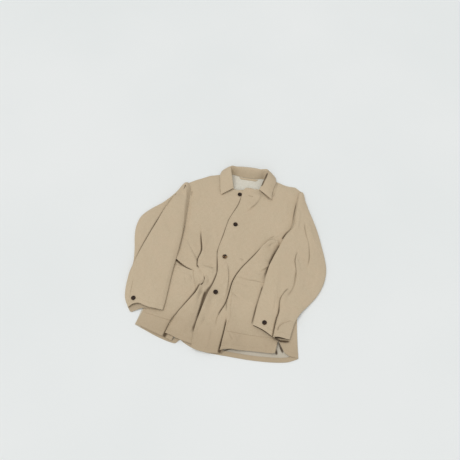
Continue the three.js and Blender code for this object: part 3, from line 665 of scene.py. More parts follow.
fineFolds = {
    "right": [
        groove([(-176, -276), (-161, -218), (-150, -195), (-128, -152), (-106, -109), (-96, -76)], 3.6,
               (0, 0.2)),
        groove([(-114, -12), (-120, 14), (-114, 60), (-123, 100), (-139, 152)], 2.8, (0.1, 0.5)),
        fold([(-195, 143), (-166, 95), (-143, 57), (-123, 29)], "left", 1.6, 10, 16, 1),
        fold([(-192, 100), (-166, 66), (-138, 23), (-123, -3)], "right", 1.5, 10, 16, 1),
        fold([(-106, 138), (-99, 100), (-97, 66), (-94, 30)], "right", 1.5, 10, 18, 1, (0.3, 0.3)),
        fold([(-97, 3), (-75, -3), (-46, -4)], "right", 1.6, 6, 12, 2),
        fold([(-104, 30), (-80, 24), (-56, 28)], "left", 1.2, 7, 12, 1),
        fold([(-92, -26), (-85, -46), (-80, -66), (-79, -80)], "left", 3.4, 6, 14, 5, (0.2, 0.3)),
        fold([(-132, -60), (-160, -86), (-186, -96)], "right", 1.4, 8, 14, 1),
        fold([(-118, -86), (-146, -120), (-176, -136)], "right", 1.6, 8, 16, 1),
        fold([(-140, -160), (-170, -176), (-205, -178)], "right", 1.2, 9, 14, 1),
        fold([(-128, -214), (-112, -160), (-96, -110)], "right", 1.6, 9, 16, 1),
        groove([(-60, -84), (-63, -112), (-67, -141), (-70, -164), (-74, -189), (-82, -214)], 5.0,
               (0.2, 0.3), 6),
        fold([(-66, 96), (-78, 140), (-84, 190)], "left", 1.2, 12, 18, 0, (0.3, 0.4)),
        fold([(-92, 372), (-120, 356), (-150, 350)], "right", 1.3, 10, 16, 1),
        fold([(-96, 306), (-110, 262), (-116, 214)], "left", 1.0, 14, 20, 0),
        fold([(-182, 330), (-176, 286), (-184, 240)], "right", 1.4, 10, 16, 0),
        groove([(-208, 316), (-207, 302), (-203, 276)], 2.6, (0.3, 0.5), 7),
        soft([(-108, 397), (-100, 355), (-90, 318)], 0.38, 8, 0.8, (0.2, 0.1)),
        soft([(-88, 316), (-70, 330), (-51, 344)], 0.34, 8, 0.8, (0.1, 0.2)),
        soft([(-92, 2), (-73, 0), (-51, -3)], 0.5, 6, 2.2),
        soft([(-70, -38), (-64, -69)], 0.36, 5),
        soft([(-68, -87), (-76, -117), (-84, -150)], 0.4, 12, 2.4),
        soft([(-214, -8), (-190, -20), (-160, -34)], 0.36, 8),
        soft([(-160, -48), (-150, -62), (-152, -84)], 0.33, 7),
        groove([(-88, -26), (-80, -50), (-81, -68), (-85, -82)], 3.2, (0.35, 0.1), 6, 1.0),
        soft([(-118, -12), (-105, -22), (-92, -34)], 0.35, 6),
        soft([(-136, -40), (-128, -56), (-121, -70)], 0.36, 8),
        soft([(-120, -42), (-112, -58), (-106, -78)], 0.3, 8),
        fold([(-200, 262), (-190, 214), (-184, 160)], "left", 1.6, 9, 14, 1),
    ],
    "rightMouth": [
        fold([(-222, 20), (-199, 8), (-181, -3), (-163, -12), (-148, -19), (-120, -25)],
             "left", 4.5, 9, 30, 10, (0, 0.2)),
        groove([(-210, 14), (-199, 7), (-181, -4), (-163, -13), (-148, -20), (-124, -26)], 3.4,
               (0, 0.1), 6, 0.95),
    ],
    "left": [
        groove([(-7, -172), (10, -130), (16, -84), (21, -40), (40, 8), (68, 52), (99, 100)], 3.2, (0.2, 0.4)),
        groove([(16, -296), (22, -227), (25, -172)], 3.4, (0, 0.3)),
        groove([(184, -210), (205, -222), (228, -222), (248, -218)], 4.5, (0.1, 0.2), 7),
        soft([(62, 363), (68, 357), (82, 341), (106, 320)], 0.55, 8, 0.8, (0.15, 0.1)),
        soft([(124, 412), (121, 385), (117, 350), (111, 326)], 0.42, 8, 0.8, (0.1, 0.3)),
        soft([(64, 338), (56, 306), (38, 280), (10, 260)], 0.45, 8),
        soft([(-32, 21), (-14, 6), (-3, -24), (-2, -53), (3, -92), (4, -124)], 0.5),
        soft([(27, -52), (27, -75), (27, -103), (27, -130), (27, -156), (24, -179)], 0.5),
        soft([(-4, -156), (-7, -161), (-9, -178), (-11, -203), (-12, -230)], 0.5),
        soft([(-53, -170), (-55, -201), (-67, -231), (-72, -250)], 0.33, 8),
        soft([(37, -213), (47, -227), (54, -242), (65, -261)], 0.4, 8),
        soft([(31, -74), (49, -97), (63, -98)], 0.4),
        soft([(71, -207), (86, -212), (105, -212)], 0.35),
        soft([(17, 58), (33, 50), (49, 44)], 0.45, 7),
        soft([(149, 168), (130, 157), (111, 128)], 0.5, 5),
        soft([(162, 137), (146, 124), (128, 100)], 0.45, 6),
        soft([(66, 52), (97, 101), (122, 137), (148, 160)], 0.6, 6, 0.6, (0.1, 0.4)),
        groove([(210, 356), (205, 278), (200, 212), (183, 184), (171, 150)], 0.8, (0.15, 0.1), 7, 0.85),
        groove([(128, -30), (120, -80), (115, -112), (112, -145), (107, -194)], 1.5, (0.1, 0.1), 7, 0.75),
        fold([(22, 54), (36, 48), (50, 36)], "right", 1.8, 6, 12, 2, (0.3, 0.3)),
        fold([(153, 143), (133, 129), (119, 106), (110, 92)], "left", 1.6, 7, 12, 2),
        fold([(168, 135), (153, 123), (140, 112)], "left", 1.5, 7, 12, 1),
        fold([(153, 295), (153, 249), (142, 209)], "left", 1.4, 12, 20, 1),
        fold([(-23, 26), (-9, 3), (-3, -23), (0, -55), (4, -123)], "right", 1.5, 8, 14, 1),
        fold([(36, -218), (50, -230), (56, -244), (62, -258)], "left", 1.8, 7, 14, 1),
        fold([(46, -56), (84, -64), (120, -52)], "left", 1.5, 8, 14, 1),
        fold([(48, -86), (80, -104), (112, -110)], "left", 1.3, 8, 14, 1),
        fold([(52, -10), (80, -16), (112, -6)], "right", 1.5, 8, 14, 1),
        fold([(64, 8), (92, -2), (124, -18)], "left", 1.3, 7, 12, 1),
        fold([(-40, -200), (-30, -150), (-24, -110)], "right", 1.6, 9, 16, 1),
        fold([(-30, -290), (-28, -240), (-36, -200)], "left", 1.5, 10, 18, 1, (0, 0.4)),
        fold([(-38, 110), (0, 118), (40, 106)], "left", 0.9, 12, 20, 0),
        fold([(60, 168), (88, 196), (104, 236)], "right", 1.2, 14, 22, 0),
        fold([(96, 344), (128, 330), (164, 336)], "right", 1.3, 10, 18, 0),
        fold([(176, 340), (170, 300), (178, 262)], "right", 1.2, 10, 14, 0),
        fold([(130, -28), (104, -24), (78, -14)], "right", 2.2, 7, 12, 4, (0.1, 0.5)),
        fold([(128, -58), (102, -46), (82, -42)], "right", 1.8, 7, 12, 3, (0.1, 0.5)),
        fold([(132, 12), (112, 0), (92, -4)], "left", 2.0, 7, 12, 3, (0.1, 0.5)),
        fold([(172, 134), (155, 98), (141, 52), (131, 8), (126, -40)], "right", -4, 13, 11, 0,
             (0.1, 0.3), 0.9),
        fold([(112, -286), (116, -262), (112, -240)], "right", 1.4, 9, 12, 0, (0, 0.5)),
        fold([(158, -280), (162, -254), (156, -234)], "left", 1.4, 9, 12, 0, (0, 0.5)),
    ],
}


def frontLevel(x, y):
    inside = np.minimum(x - sideAt(rightFront, "side", y), sideAt(leftFront, "side", y) - x)
    below = np.where(x < 0, lineAt(fronts["right"]["shoulder"], x), lineAt(fronts["left"]["shoulder"], x)) - y
    lift = np.sqrt(smooth(inside / layout["sideRound"])) * np.sqrt(smooth(below / layout["shoulderRound"]))
    return seamTop + layout["puff"] * lift


def frontForm(which, extra=()):
    f = fronts[which]
    names = ["side", "outer", "inner", "fold", "edge"]
    last = len(f["sections"]) - 1
    rows = np.array([0.0] + [i + k / n for i, n in enumerate(frontRows) for k in range(1, n + 1)])
    at = {name: curveAt([row[name] for row in f["sections"]], rows / last)[:, :2] for name in names}
    shares = []
    for k, (begin, end, count, crowd) in enumerate(f["spans"]):
        for t in np.linspace(0, 1, count + 1)[(1 if k else 0):]:
            shares.append(mix(at[begin], at[end], t**crowd))
    plan = np.stack(shares, axis=1)
    x, y = plan[..., 0], plan[..., 1].copy()
    for rim, row, pull in (
        (f["hem"], f["sections"][0], np.clip(1 - rows, 0, 1)),
        (f["shoulder"], f["sections"][-1], np.clip(rows - last + 1, 0, 1)),
    ):
        y += (lineAt(rim, x) - lineAt([row[name] for name in names], x)) * pull[:, None]
    past = x - sideAt(leftFront, "edge", y)
    edgeShade = np.zeros_like(past)
    if which == "right":  # painted shade beside the edge that lies over it
        edgeShade = lap["shade"] * bell(past / lap["shadeReach"]) * smooth((y - lap["shadeFrom"]) / 40)
    toSide = np.minimum(x - sideAt(rightFront, "side", y), sideAt(leftFront, "side", y) - x)
    held = smooth(toSide / 14)
    rise, dx, dy, deep = foldsAt(mainFolds[which] + fineFolds[which] + list(extra), x, y)
    rough = crumple(x, y, f["seed"]) * smooth(toSide / 10 + 0.25)
    if which == "right":
        open_ = held * (1 - smooth(past / lap["sink"]))
        z = frontLevel(x, y) - lap["under"] * smooth(past / lap["sink"]) + rise * open_ + rough * (0.4 + 0.6 * open_)
        p = np.stack([x + dx * open_, y + dy * open_, z], axis=-1)
    else:
        onRight = lap["ply"] * (1 - smooth((past - 0.4 * lap["width"]) / lap["width"]))
        ridden = foldsAt(mainFolds["right"], x, y)[0] * (1 - smooth(past / (2 * lap["sink"])))
        z = frontLevel(x, y) + (onRight + ridden + rise) * held + rough
        p = np.stack([x + dx * held, y + dy * held, z], axis=-1)
    return p, np.stack([x, y], axis=-1), np.maximum(deep * held, edgeShade)


def indexOf(which, section, column):
    # the grid row of a section and the grid column of one of its named points
    spans = fronts[which]["spans"]
    names = [spans[0][0]] + [span[1] for span in spans]
    counts = [0] + list(np.cumsum([span[2] for span in spans]))
    return sum(frontRows[:section]), counts[names.index(column)]


forms = {which: frontForm(which) for which in fronts}
creased = {"right": frontForm("right", fineFolds["rightMouth"]), "left": forms["left"]}
frontLines = {
    "right": [("low", 14, 0.0, 1.0, 3.3), ("start", 5, 0.56, 1.0, 3.3), ("high", 5, 0.0, 1.0, 3.3)],
    "left": [("low", 14, 0.0, 1.0, 3.3), ("start", 4, 0.0, 0.83, 3.3), ("end", 5, 0.56, 1.0, 3.3)],
}
for which in fronts:
    p, cut, deep = creased[which]
    piece = clothPanel(f"frontCloth_{which}", p, cut, frontLines[which], wall=0.75, deep=deep)
    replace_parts(piece, f"front_{which}")
say("fronts laid")

# patch pockets
pockets = {
    "right": {"gape": 4.5, "middle": 0.68, "width": 0.34},
    "left": {"gape": 2.0, "middle": 0.4, "width": 0.5},
}
pocketLook = {"wall": 1.4, "gapeRows": 18, "hem": 22, "edge": 2.5, "pitch": 3.2}


def makePocket(which):
    low, high = indexOf(which, 1, "outer")[0], indexOf(which, 3, "outer")[0]
    first, last = sorted(indexOf(which, 1, name)[1] for name in ("outer", "inner"))
    p, cut, deep = forms[which]
    normals = gridNormals(p)
    cells = (slice(low, high + 1), slice(first, last + 1))
    p, cut, deep, normals = p[cells], cut[cells], deep[cells], normals[cells]
    look = pockets[which]
    rows, cols = p.shape[:2]
    i, j = np.meshgrid(np.arange(rows), np.arange(cols), indexing="ij")
    gapeRows = pocketLook["gapeRows"]
    open_ = smooth((i - rows + 1 + gapeRows) / gapeRows) * bell((j / (cols - 1) - look["middle"]) / look["width"])
    lift = layout["gap"] + pocketLook["wall"] + look["gape"] * open_
    outer = p + normals * lift[..., None]
    seams = (("high", pocketLook["hem"]), ("start", pocketLook["edge"]), ("end", pocketLook["edge"]))
    lines = [(edge, distance, 0.0, 1.0, pocketLook["pitch"]) for edge, distance in seams]
    piece = clothPanel(f"pocketCloth_{which}", outer, cut, lines, wall=pocketLook["wall"], deep=deep)
    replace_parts(piece, f"pocket_{which}")


for which in pockets:
    makePocket(which)
say("pockets laid")

# back, its turned-up hem and the strip inside the neck
backHem = [(-284, -252), (-250, -263), (-200, -279), (-150, -290), (-134, -290), (-121, -277), (-106, -284),
           (-78, -295), (-40, -302), (50, -303), (130, -302), (200, -296), (245, -287), (277, -271)]
backTop = [(-236, 345), (-200, 369), (-150, 398), (-78, 420), (-30, 418), (32, 418), (80, 420), (150, 404),
           (196, 401), (224, 382)]
backSides = {
    "left": [(-284, -252), (-268, -130), (-258, 40), (-228, 150), (-222, 235), (-236, 345)],
    "right": [(277, -271), (258, -130), (246, 40), (196, 150), (206, 250), (224, 382)],
}


def patch(low, high, start, end, columns, rows):
    # plan points between four edges: low and high by length, start and end by their points
    p, q = (curveByLength(line, columns) for line in (low, high))
    a, b = (curveAt(line, rows) for line in (start, end))
    u, v = np.asarray(columns)[None, :, None], np.asarray(rows)[:, None, None]
    corners = mix(mix(p[0], p[-1], u), mix(q[0], q[-1], u), v)
    return mix(a[:, None], b[:, None], u) + mix(p[None], q[None], v) - corners


backShade = [
    groove([(203, -220), (199, -232), (198, -246), (203, -262), (208, -274)], 4.6, (0.1, 0.2), 8),
    groove([(207, -228), (216, -245), (227, -263)], 5.0, (0.1, 0.15), 7),
    groove([(24, -292), (34, -286), (50, -277), (70, -277), (84, -282)], 3.6, (0.2, 0.3), 6),
]


backLook = {"columns": 161, "rows": 191, "hemWide": 15, "hemHeight": 3.1, "stripHeight": 2.9, "hemPitch": 3.3}


def makeBack():
    across, up = np.linspace(0, 1, backLook["columns"]), np.linspace(0, 1, backLook["rows"])
    plan = patch(backHem, backTop, backSides["left"], backSides["right"], across, up)
    x, y = plan[..., 0], plan[..., 1]
    inward, outward = ("cottonBack", "cottonFace"), ("cottonFace", "cottonBack")
    z = layout["cloth"] + 0.25 * np.abs(crumple(x, y, 9.0, ((40, 1.0), (14, 0.4))))
    piece = clothPanel("backCloth", np.stack([x, y, z], axis=-1), np.stack([x, y], axis=-1),
                       [("low", 14, 0.0, 1.0, backLook["hemPitch"])], wall=1.5, materials=inward,
                       deep=foldsAt(backShade, x, y)[3])
    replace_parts(piece, "back")

    share = np.linspace(22 / 600, 1 - 5 / 600, 180)
    line = curveByLength(backHem, share)
    tangent = np.gradient(line, axis=0)
    tangent /= np.linalg.norm(tangent, axis=1, keepdims=True)
    toMiddle = np.stack([-tangent[:, 1], tangent[:, 0], 0 * tangent[:, 0]], axis=-1)
    width = np.linspace(0, backLook["hemWide"], 8)
    strip = line[None] + toMiddle[None] * width[:, None, None]
    wave = 0.15 * np.sin(strip[..., 0] * 0.13)
    strip[..., 2] = backLook["hemHeight"] + wave * (width[:, None] / backLook["hemWide"])
    strip[..., 1] += layout["gap"]
    lines = [("high", 1.8, 0.0, 1.0, backLook["hemPitch"])]
    piece = clothPanel("hemCloth", strip, strip[..., :2], lines, wall=1.1, materials=outward)
    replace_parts(piece, "hem_back")

    strip = patch([(-26, 404), (36, 404)], [(-34, 413), (44, 413)], [(-26, 404), (-34, 413)], [(36, 404), (44, 413)],
                  np.linspace(0, 1, 60), np.linspace(0, 1, 8))
    strip[..., 2] = backLook["stripHeight"]
    lines = [("low", 1.6, 0.0, 1.0, 3.0)]
    piece = clothPanel("neckStrip", strip, strip[..., :2], lines, wall=0.9, materials=outward)
    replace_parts(piece, "neck_facing")


makeBack()
say("back laid")

# collar
collarSections = sections(("seam", "roll", "edge"), [
    [(-44, 345, 12.2), (-48, 347, 15), (-89, 312, 13)],
    [(-56, 364, 12.4), (-52, 368, 24), (-98, 342, 13.5)],
    [(-64, 387, 11.6), (-60, 395, 32), (-104, 376, 14)],
    [(-71, 412, 8.4), (-67, 417, 37), (-110, 406, 12)],
    [(-62, 420, 3.4), (-70, 438, 38), (-98, 442, 3.2)],
    [(-30, 416, 3.2), (-35, 440, 34), (-44, 464, 2.4)],
    [(34, 416, 3.2), (36, 442, 34), (44, 466, 2.4)],
    [(64, 420, 3.4), (77, 444, 40), (104, 444, 3.2)],
    [(72, 412, 8.4), (74, 418, 38), (116, 408, 12)],
    [(66, 388, 11.6), (68, 395, 33), (111, 376, 14)],
    [(60, 368, 13.4), (63, 370, 25), (108, 345, 16)],
    [(54, 360, 14.2), (60, 354, 19), (109, 320, 19)],
])
collarShade = [groove([(76, 438), (72, 408), (66, 386), (59, 366)], 1.0, (0.2, 0.15), 9, 0.95)]


def makeCollar():
    t = np.linspace(0, 1, 181)
    foot, roll, edge = (curveAt([row[name] for row in collarSections], t) for name in ("seam", "roll", "edge"))
    bulge = mix(foot, roll, 0.6)  # the stand leans a little inwards below its roll
    bulge += (edge - bulge) * -0.06
    brow = mix(roll, edge, 0.12) + (0, 0, 0.4)
    cheek = mix(roll, edge, 0.6) + (0, 0, 1.5)
    rows = np.array([curveAt(points, np.linspace(0, 1, 37)) for points in zip(foot, bulge, roll, brow, cheek, edge)])
    normals = gridNormals(rows)
    down = edgeDistances(rows)["start"]
    run = np.broadcast_to(np.linspace(0, 1, rows.shape[0])[:, None] * 560, down.shape)
    wave = crumple(run.copy(), down, 11.0, ((50, 0.9), (20, 0.35))) * smooth(down / 20)
    outer = rows + normals * (1.1 + wave[..., None])
    cut = np.stack([run, down], axis=-1)
    lines = [(edgeName, 5, 0.0, 1.0, 3.0) for edgeName in ("end", "low", "high")]
    deep = foldsAt(collarShade, outer[..., 0], outer[..., 1])[3]
    piece = clothPanel("collarCloth", outer, cut, lines, wall=2.2, materials=("cottonFace", "cottonFace"), deep=deep)
    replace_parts(piece, "collar")


makeCollar()
say("collar turned down")

# sleeves
sleeves = {
    "right": {
        "outer": [(-231, 347), (-241, 347), (-250, 336), (-264, 304), (-305, 244), (-350, 200), (-376, 164),
                  (-383, 122), (-378, 80), (-364, 28),
                  (-354, -20), (-352, -75), (-351, -130), (-343, -168), (-324, -198)],
        "inner": [(-202, 149), (-199, 100), (-199, 50), (-200, 0), (-201, -50), (-200, -100), (-199, -150),
                  (-200, -190)],
        "armhole": [(-231, 347), (-222, 338), (-216, 322), (-211, 285), (-206, 222), (-203, 180),
                    (-202, 149)],
        "underArmhole": [(-231, 347), (-236, 322), (-236, 285), (-232, 222), (-222, 180), (-202, 149)],
        "cuff": [(-324, -198), (-308, -184), (-288, -179), (-272, -184), (-245, -189), (-200, -190)],
        "underCuff": [(-324, -198), (-311, -211), (-298, -205), (-272, -192), (-245, -191), (-200, -190)],
        "puff": [(0, 7), (0.12, 12), (0.5, 13), (0.9, 11), (1, 10)],
        "headWide": 16,
        "mouth": 0.4,
        "seed": 21.0,
        "edge": 0.0,
        "folds": [
            fold([(-391, -210), (-367, -110), (-343, -10), (-322, 78), (-301, 160), (-282, 228), (-258, 296)],
                 "right", 7.5, 14, 90, (4, 38), (0.25, 0.1)),
            groove([(-352, -46), (-343, -10), (-322, 78), (-301, 160), (-284, 222), (-268, 262)], 4.4,
                   (0.1, 0.15), 10, 1.35),
            fold([(-214, -185), (-212, -60), (-214, 80), (-216, 190)], "left", 3, 14, 26, 0, (0.1, 0.4)),
            fold([(-356, 60), (-352, 120), (-330, 180)], "left", 3, 18, 22, 0, (0.3, 0.4)),
            fold([(-214, 238), (-222, 280), (-234, 326)], "left", 5, 10, 16, 2, (0.4, 0.1)),
            fold([(-226, -190), (-232, -140), (-226, -96)], "left", 2.5, 14, 24, 0, (0, 0.5)),
            fold([(-236, 268), (-240, 300), (-240, 326)], "right", 2.4, 5, 9, 2, (0.4, 0.1)),
            fold([(-323, -92), (-325, -120), (-326, -152), (-322, -178)], "right", 2.4, 6, 12, 4),
            groove([(-240, 338), (-237, 320), (-240, 296)], 4.5, (0.3, 0.4)),
            fold([(-288, 190), (-262, 140), (-246, 84)], "right", 1.2, 14, 22, 0),
            fold([(-320, 20), (-300, -30), (-292, -84)], "left", 1.3, 14, 24, 0),
            fold([(-250, -30), (-262, -80), (-258, -130)], "right", 1.1, 12, 20, 0),
            fold([(-306, 232), (-336, 190), (-352, 150)], "right", 1.6, 10, 18, 1),
        ],
    },
    "left": {
        "outer": [(218, 380), (227, 377), (234, 366), (241, 342), (258, 302), (282, 252), (303, 203),
                  (319, 158), (334, 111), (343, 70),
                  (344, 38), (336, -5), (319, -45), (296, -80), (270, -116), (254, -150), (246, -185),
                  (241, -216)],
        "inner": [(171, 129), (160, 104), (148, 70), (138, 35), (132, 0), (128, -40), (122, -80), (118, -112),
                  (115, -145), (112, -188)],
        "armhole": [(218, 380), (212, 372), (210, 350), (207, 278), (203, 212), (186, 184), (173, 152),
                    (171, 129)],
        "underArmhole": [(218, 380), (226, 350), (230, 278), (222, 212), (202, 178), (184, 150), (171, 129)],
        "cuff": [(241, -216), (214, -218), (199, -223), (188, -222), (171, -212), (148, -200), (112, -188)],
        "underCuff": [(241, -216), (218, -217), (199, -219), (188, -219), (171, -211), (148, -200),
                      (112, -188)],
        "puff": [(0, 7), (0.12, 13), (0.5, 15), (0.9, 11), (1, 11)],
        "headWide": 10,
        "mouth": 0.95,
        "seed": 27.0,
        "edge": 4.5,
        "folds": [
            fold([(186, -224), (191, -160), (197, -128), (194, -88), (206, -56), (220, -28)],
                 "right", 6.5, 13, 34, 9, (0, 0.4)),
            groove([(184, -224), (189, -160), (195, -128), (192, -88)], 3.5, (0, 0.3), 7),
            fold([(202, -214), (212, -180), (230, -160), (250, -146)], "right", 5, 13, 26, 6, (0, 0.3)),
            fold([(272, 26), (279, 66), (279, 106), (268, 158), (252, 214), (240, 266)],
                 "right", 4.5, 12, 34, 6, (0.25, 0.3)),
            fold([(214, -84), (236, -40), (241, 10), (231, 62), (231, 110), (226, 158)],
                 "right", 4.5, 12, 34, 6.4, (0.3, 0.4)),
            soft([(226, 159), (234, 105), (228, 72), (238, 37), (235, 8), (234, -25), (227, -54), (217, -78),
                  (206, -95)], 0.62, 8, 2.0, (0.2, 0.3)),
            soft([(244, 262), (251, 226), (259, 196), (271, 164), (278, 128), (281, 88), (278, 58),
                  (275, 17)],
                 0.6, 8, 1.8, (0.2, 0.3)),
            soft([(222, -32), (208, -56), (197, -80), (194, -117), (192, -158), (186, -212)], 0.75, 9, 1.5,
                 (0.15, 0.1)),
            soft([(206, -206), (212, -184), (228, -162), (246, -150)], 0.55, 8, 1.6, (0.15, 0.2)),
            soft([(268, 330), (277, 280), (286, 236)], 0.36, 8),
            soft([(248, 95), (246, 72), (254, 61), (259, 31)], 0.34, 5),
            soft([(280, 186), (290, 155), (299, 121), (304, 82)], 0.33, 7),
            soft([(155, 8), (159, -29), (172, -70), (174, -101), (175, -125), (172, -137)], 0.4, 6),
            fold([(176, -140), (174, -60), (168, 30), (172, 96)], "left", 3, 18, 24, 0, (0.3, 0.4)),
            fold([(304, 60), (302, 120), (286, 190), (266, 262)], "right", 3.5, 18, 26, 0, (0.3, 0.3)),
            fold([(297, 140), (285, 181), (271, 224), (260, 264)], "left", 2.2, 9, 16, 2),
            fold([(156, 8), (171, -55), (178, -123)], "right", 1.6, 10, 18, 1),
            fold([(237, 95), (229, 72), (235, 49), (240, 23)], "right", 1.6, 8, 16, 1),
            fold([(222, -63), (214, -83), (210, -112)], "right", 1.4, 8, 12, 1),
            fold([(242, -154), (225, -169), (212, -184), (206, -195)], "left", 2.0, 6, 12, 2),
            fold([(320, 90), (316, 30), (300, -20)], "left", 1.5, 12, 20, 0),
            fold([(300, -40), (274, -70), (256, -104)], "right", 1.6, 10, 18, 0),
            fold([(216, 300), (224, 250), (222, 200)], "right", 2.0, 9, 16, 1),
        ],
    },
}
sleeveLook = {
    "along": 180, "upper": 150, "lower": 36,  # cells along the arm, and round its upper and under side
    "edgeLift": 4.2, "clear": 1.0, "overPocket": 1.5, "mouthShare": 0.9, "cuffSeam": 16, "seamDrop": 60,
    "steps": ((0, 0), (13, 0), (-13, 0), (0, 16), (0, -16)),  # where the cloth below is felt for
}


def insideBody(x, y, margin):
    top = np.where(x < 0, lineAt(fronts["right"]["shoulder"], x), lineAt(fronts["left"]["shoulder"], x))
    return (
        (x > sideAt(rightFront, "side", y) - margin) & (x < sideAt(leftFront, "side", y) + margin)
        & (y > -262 - margin) & (y < top + margin)
    )


def supportAt(x, y, spread):
    height = np.zeros_like(x)
    for dx, dy in sleeveLook["steps"]:
        px, py = x + dx * spread, y + dy * spread
        rise = np.where(px < 0, foldsAt(mainFolds["right"], px, py)[0], foldsAt(mainFolds["left"], px, py)[0])
        on = frontLevel(px, py) + rise + (sleeveLook["overPocket"] + sleeveLook["clear"])
        beside = np.where(insideBody(px, py, 26), layout["cloth"] + layout["gap"], 0)
        height = np.maximum(height, np.where(insideBody(px, py, 4 * spread), on, beside))
    return height


def blurred(field, passes=3):
    for _ in range(passes):
        for axis in (0, 1):
            wide = np.concatenate([np.take(field, [0], axis), field, np.take(field, [-1], axis)], axis)
            low, high = (np.delete(wide, outer, axis) for outer in ((-1, -2), (0, 1)))
            field = (low + 2 * field + high) / 4
    return field


def supportOn(x, y, spread, soften=0, step=5):
    # what the sleeve lies on, worked out at every fifth point and filled in smoothly between them
    rows, cols = (sorted({*range(0, n, step), n - 1}) for n in x.shape)
    few = np.ix_(rows, cols)
    coarse = blurred(supportAt(x[few], y[few], np.broadcast_to(spread, x.shape)[few]), soften)
    tall = np.array([np.interp(np.arange(x.shape[0]), rows, column) for column in coarse.T]).T
    full = np.array([np.interp(np.arange(x.shape[1]), cols, row) for row in tall])
    return blurred(full, 8)


def puffAt(table, s):
    # how far the upper side stands off at each share of the arm
    out = np.zeros_like(s)
    for (sa, a), (sb, b) in zip(table[:-1], table[1:]):
        here = (s >= sa) & (s <= sb)
        out[here] = mix(a, b, smooth((s[here] - sa) / (sb - sa)))
    return out


def makeSleeve(which):
    look = sleeves[which]
    along, up, down = sleeveLook["along"], sleeveLook["upper"], sleeveLook["lower"]
    s = np.linspace(0, 1, along + 1)
    # rows stand closer at the sleeve's two edges
    upRows, downRows = ((1 - np.cos(np.pi * np.linspace(0, 1, count + 1))) / 2 for count in (up, down))
    upper = patch(look["outer"], look["inner"], look["armhole"], look["cuff"], s, upRows)
    lower = patch(look["outer"], look["inner"], look["underArmhole"], look["underCuff"], s, downRows)
    overFront = smooth(s / 0.1)
    spread = 0.35 + 0.65 * overFront[None, :]

    x, y = upper[..., 0], upper[..., 1]
    across = np.sin(np.pi * np.arange(up + 1) / up)[:, None].clip(0) ** 0.75
    rise, dx, dy, deep = foldsAt(look["folds"], x, y)
    rough = crumple(x, y, look["seed"])
    lift = sleeveLook["edgeLift"] + look["edge"] * bell((s - 0.2) / 0.24)[None, :] * (1 - across)
    under = mix(supportOn(x, y, spread), supportOn(x, y, spread, 9), smooth(across))
    z = under + lift + across * (puffAt(look["puff"], s)[None, :] + rise + rough)
    fromSeam = np.abs(x[:, :1] - x) + np.abs(y[:, :1] - y)  # down to the front along the armhole seam
    head = np.sqrt(smooth(fromSeam / look["headWide"]))
    z = mix(frontLevel(x, y) + 1.2, z, head)
    held = across * smooth(fromSeam / sleeveLook["seamDrop"])
    top = np.stack([x + dx * held, y + dy * held, z], axis=-1)
    # painted shade inside the cuff's mouth, on the sleeve's under side
    mouth = look["mouth"] * smooth((s - sleeveLook["mouthShare"]) / 0.06) * np.ones((down, 1))
    deep = np.concatenate([deep * across, mouth]).T

    x, y = lower[..., 0], lower[..., 1]
    across = np.sin(np.pi * np.arange(down + 1) / down)[:, None].clip(0) ** 0.6
    z = supportOn(x, y, spread) + lift[0] * (1 - across)
    bottom = np.stack([x, y, z], axis=-1)

    ring = np.concatenate([top, bottom[-2:0:-1], top[:1]], axis=0).transpose(1, 0, 2)
    if which == "left":
        ring, deep = ring[:, ::-1], deep[:, ::-1]
    n = gridNormals(ring)
    if n[along // 2, (up // 2 if which == "right" else ring.shape[1] - up // 2), 2] < 0:
        ring, deep = ring[::-1], deep[::-1]
    around = edgeDistances(ring)
    cut = np.stack([around["start"], around["low"]], axis=-1)
    cuffEdge = "high" if ring[-1, 0, 1] < ring[0, 0, 1] else "low"
    lines = [(cuffEdge, sleeveLook["cuffSeam"], 0.0, 1.0, 3.3)]
    piece = clothPanel(f"sleeveCloth_{which}", ring, cut, lines, around=True, wall=1.1,
                       materials=("cottonFace", "cottonFace"), deep=deep)
    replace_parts(piece, f"sleeve_{which}")


for which in sleeves:
    makeSleeve(which)
say("sleeves laid")

# stitches
thread = {"length": 2.5, "thick": 0.42, "sunk": 0.1}


def makeStitches():
    seed = bmesh.new()
    bmesh.ops.create_uvsphere(seed, u_segments=5, v_segments=4, radius=1.0)
    bmesh.ops.rotate(seed, verts=seed.verts, matrix=Matrix.Rotation(math.pi / 2, 3, "Y"))
    one = bpy.data.meshes.new("stitch")
    seed.to_mesh(one)
    seed.free()
    shape = np.array([v.co for v in one.vertices])
    shape *= np.array([thread["length"], thread["thick"], thread["thick"] * 0.75]) / 2000
    bm = bmesh.new()
    for (points, ups), pitch in sewn:
        if len(points) < 3:
            continue
        run = np.concatenate([[0], np.cumsum(np.linalg.norm(np.diff(points, axis=0), axis=1))])
        at = np.arange(pitch / 2, run[-1] - pitch / 2, pitch)
        half = thread["length"] / 2
        here, ahead, behind, up = (
            np.array([np.interp(place, run, line[:, k]) for k in range(3)]).T
            for place, line in ((at, points), (at + half, points), (at - half, points), (at, ups))
        )
        way = ahead - behind
        way /= np.linalg.norm(way, axis=1, keepdims=True)
        side = np.cross(up, way)
        side /= np.linalg.norm(side, axis=1, keepdims=True)
        up = np.cross(way, side)
        centre = toMetres(here + up * (thread["thick"] / 2 - thread["sunk"]))
        for c, w, n, u in zip(centre, way, side, up):
            placed = c + shape[:, :1] * w + shape[:, 1:2] * n + shape[:, 2:] * u
            one.vertices.foreach_set("co", placed.ravel())
            bm.from_mesh(one)
    bpy.data.meshes.remove(one)
    for face in bm.faces:
        face.smooth = True
    piece = addPiece("stitches", bm, ["thread"])
    say(f"{len(piece.data.polygons)} faces of stitches")


makeStitches()

# buttons
buttonLook = {
    "thick": 3.2,
    "rim": 0.8,  # how far the upper rim is cut back
    "foot": 0.9,  # and the lower one
    "land": 2.2,  # from the outside to the dish
    "slope": 3.4,  # and to the dish's floor
    "dish": 0.7,
    "holeRing": 2.1,
    "hole": 0.85,
    "barWide": 0.42,
    "barThick": 0.34,
}


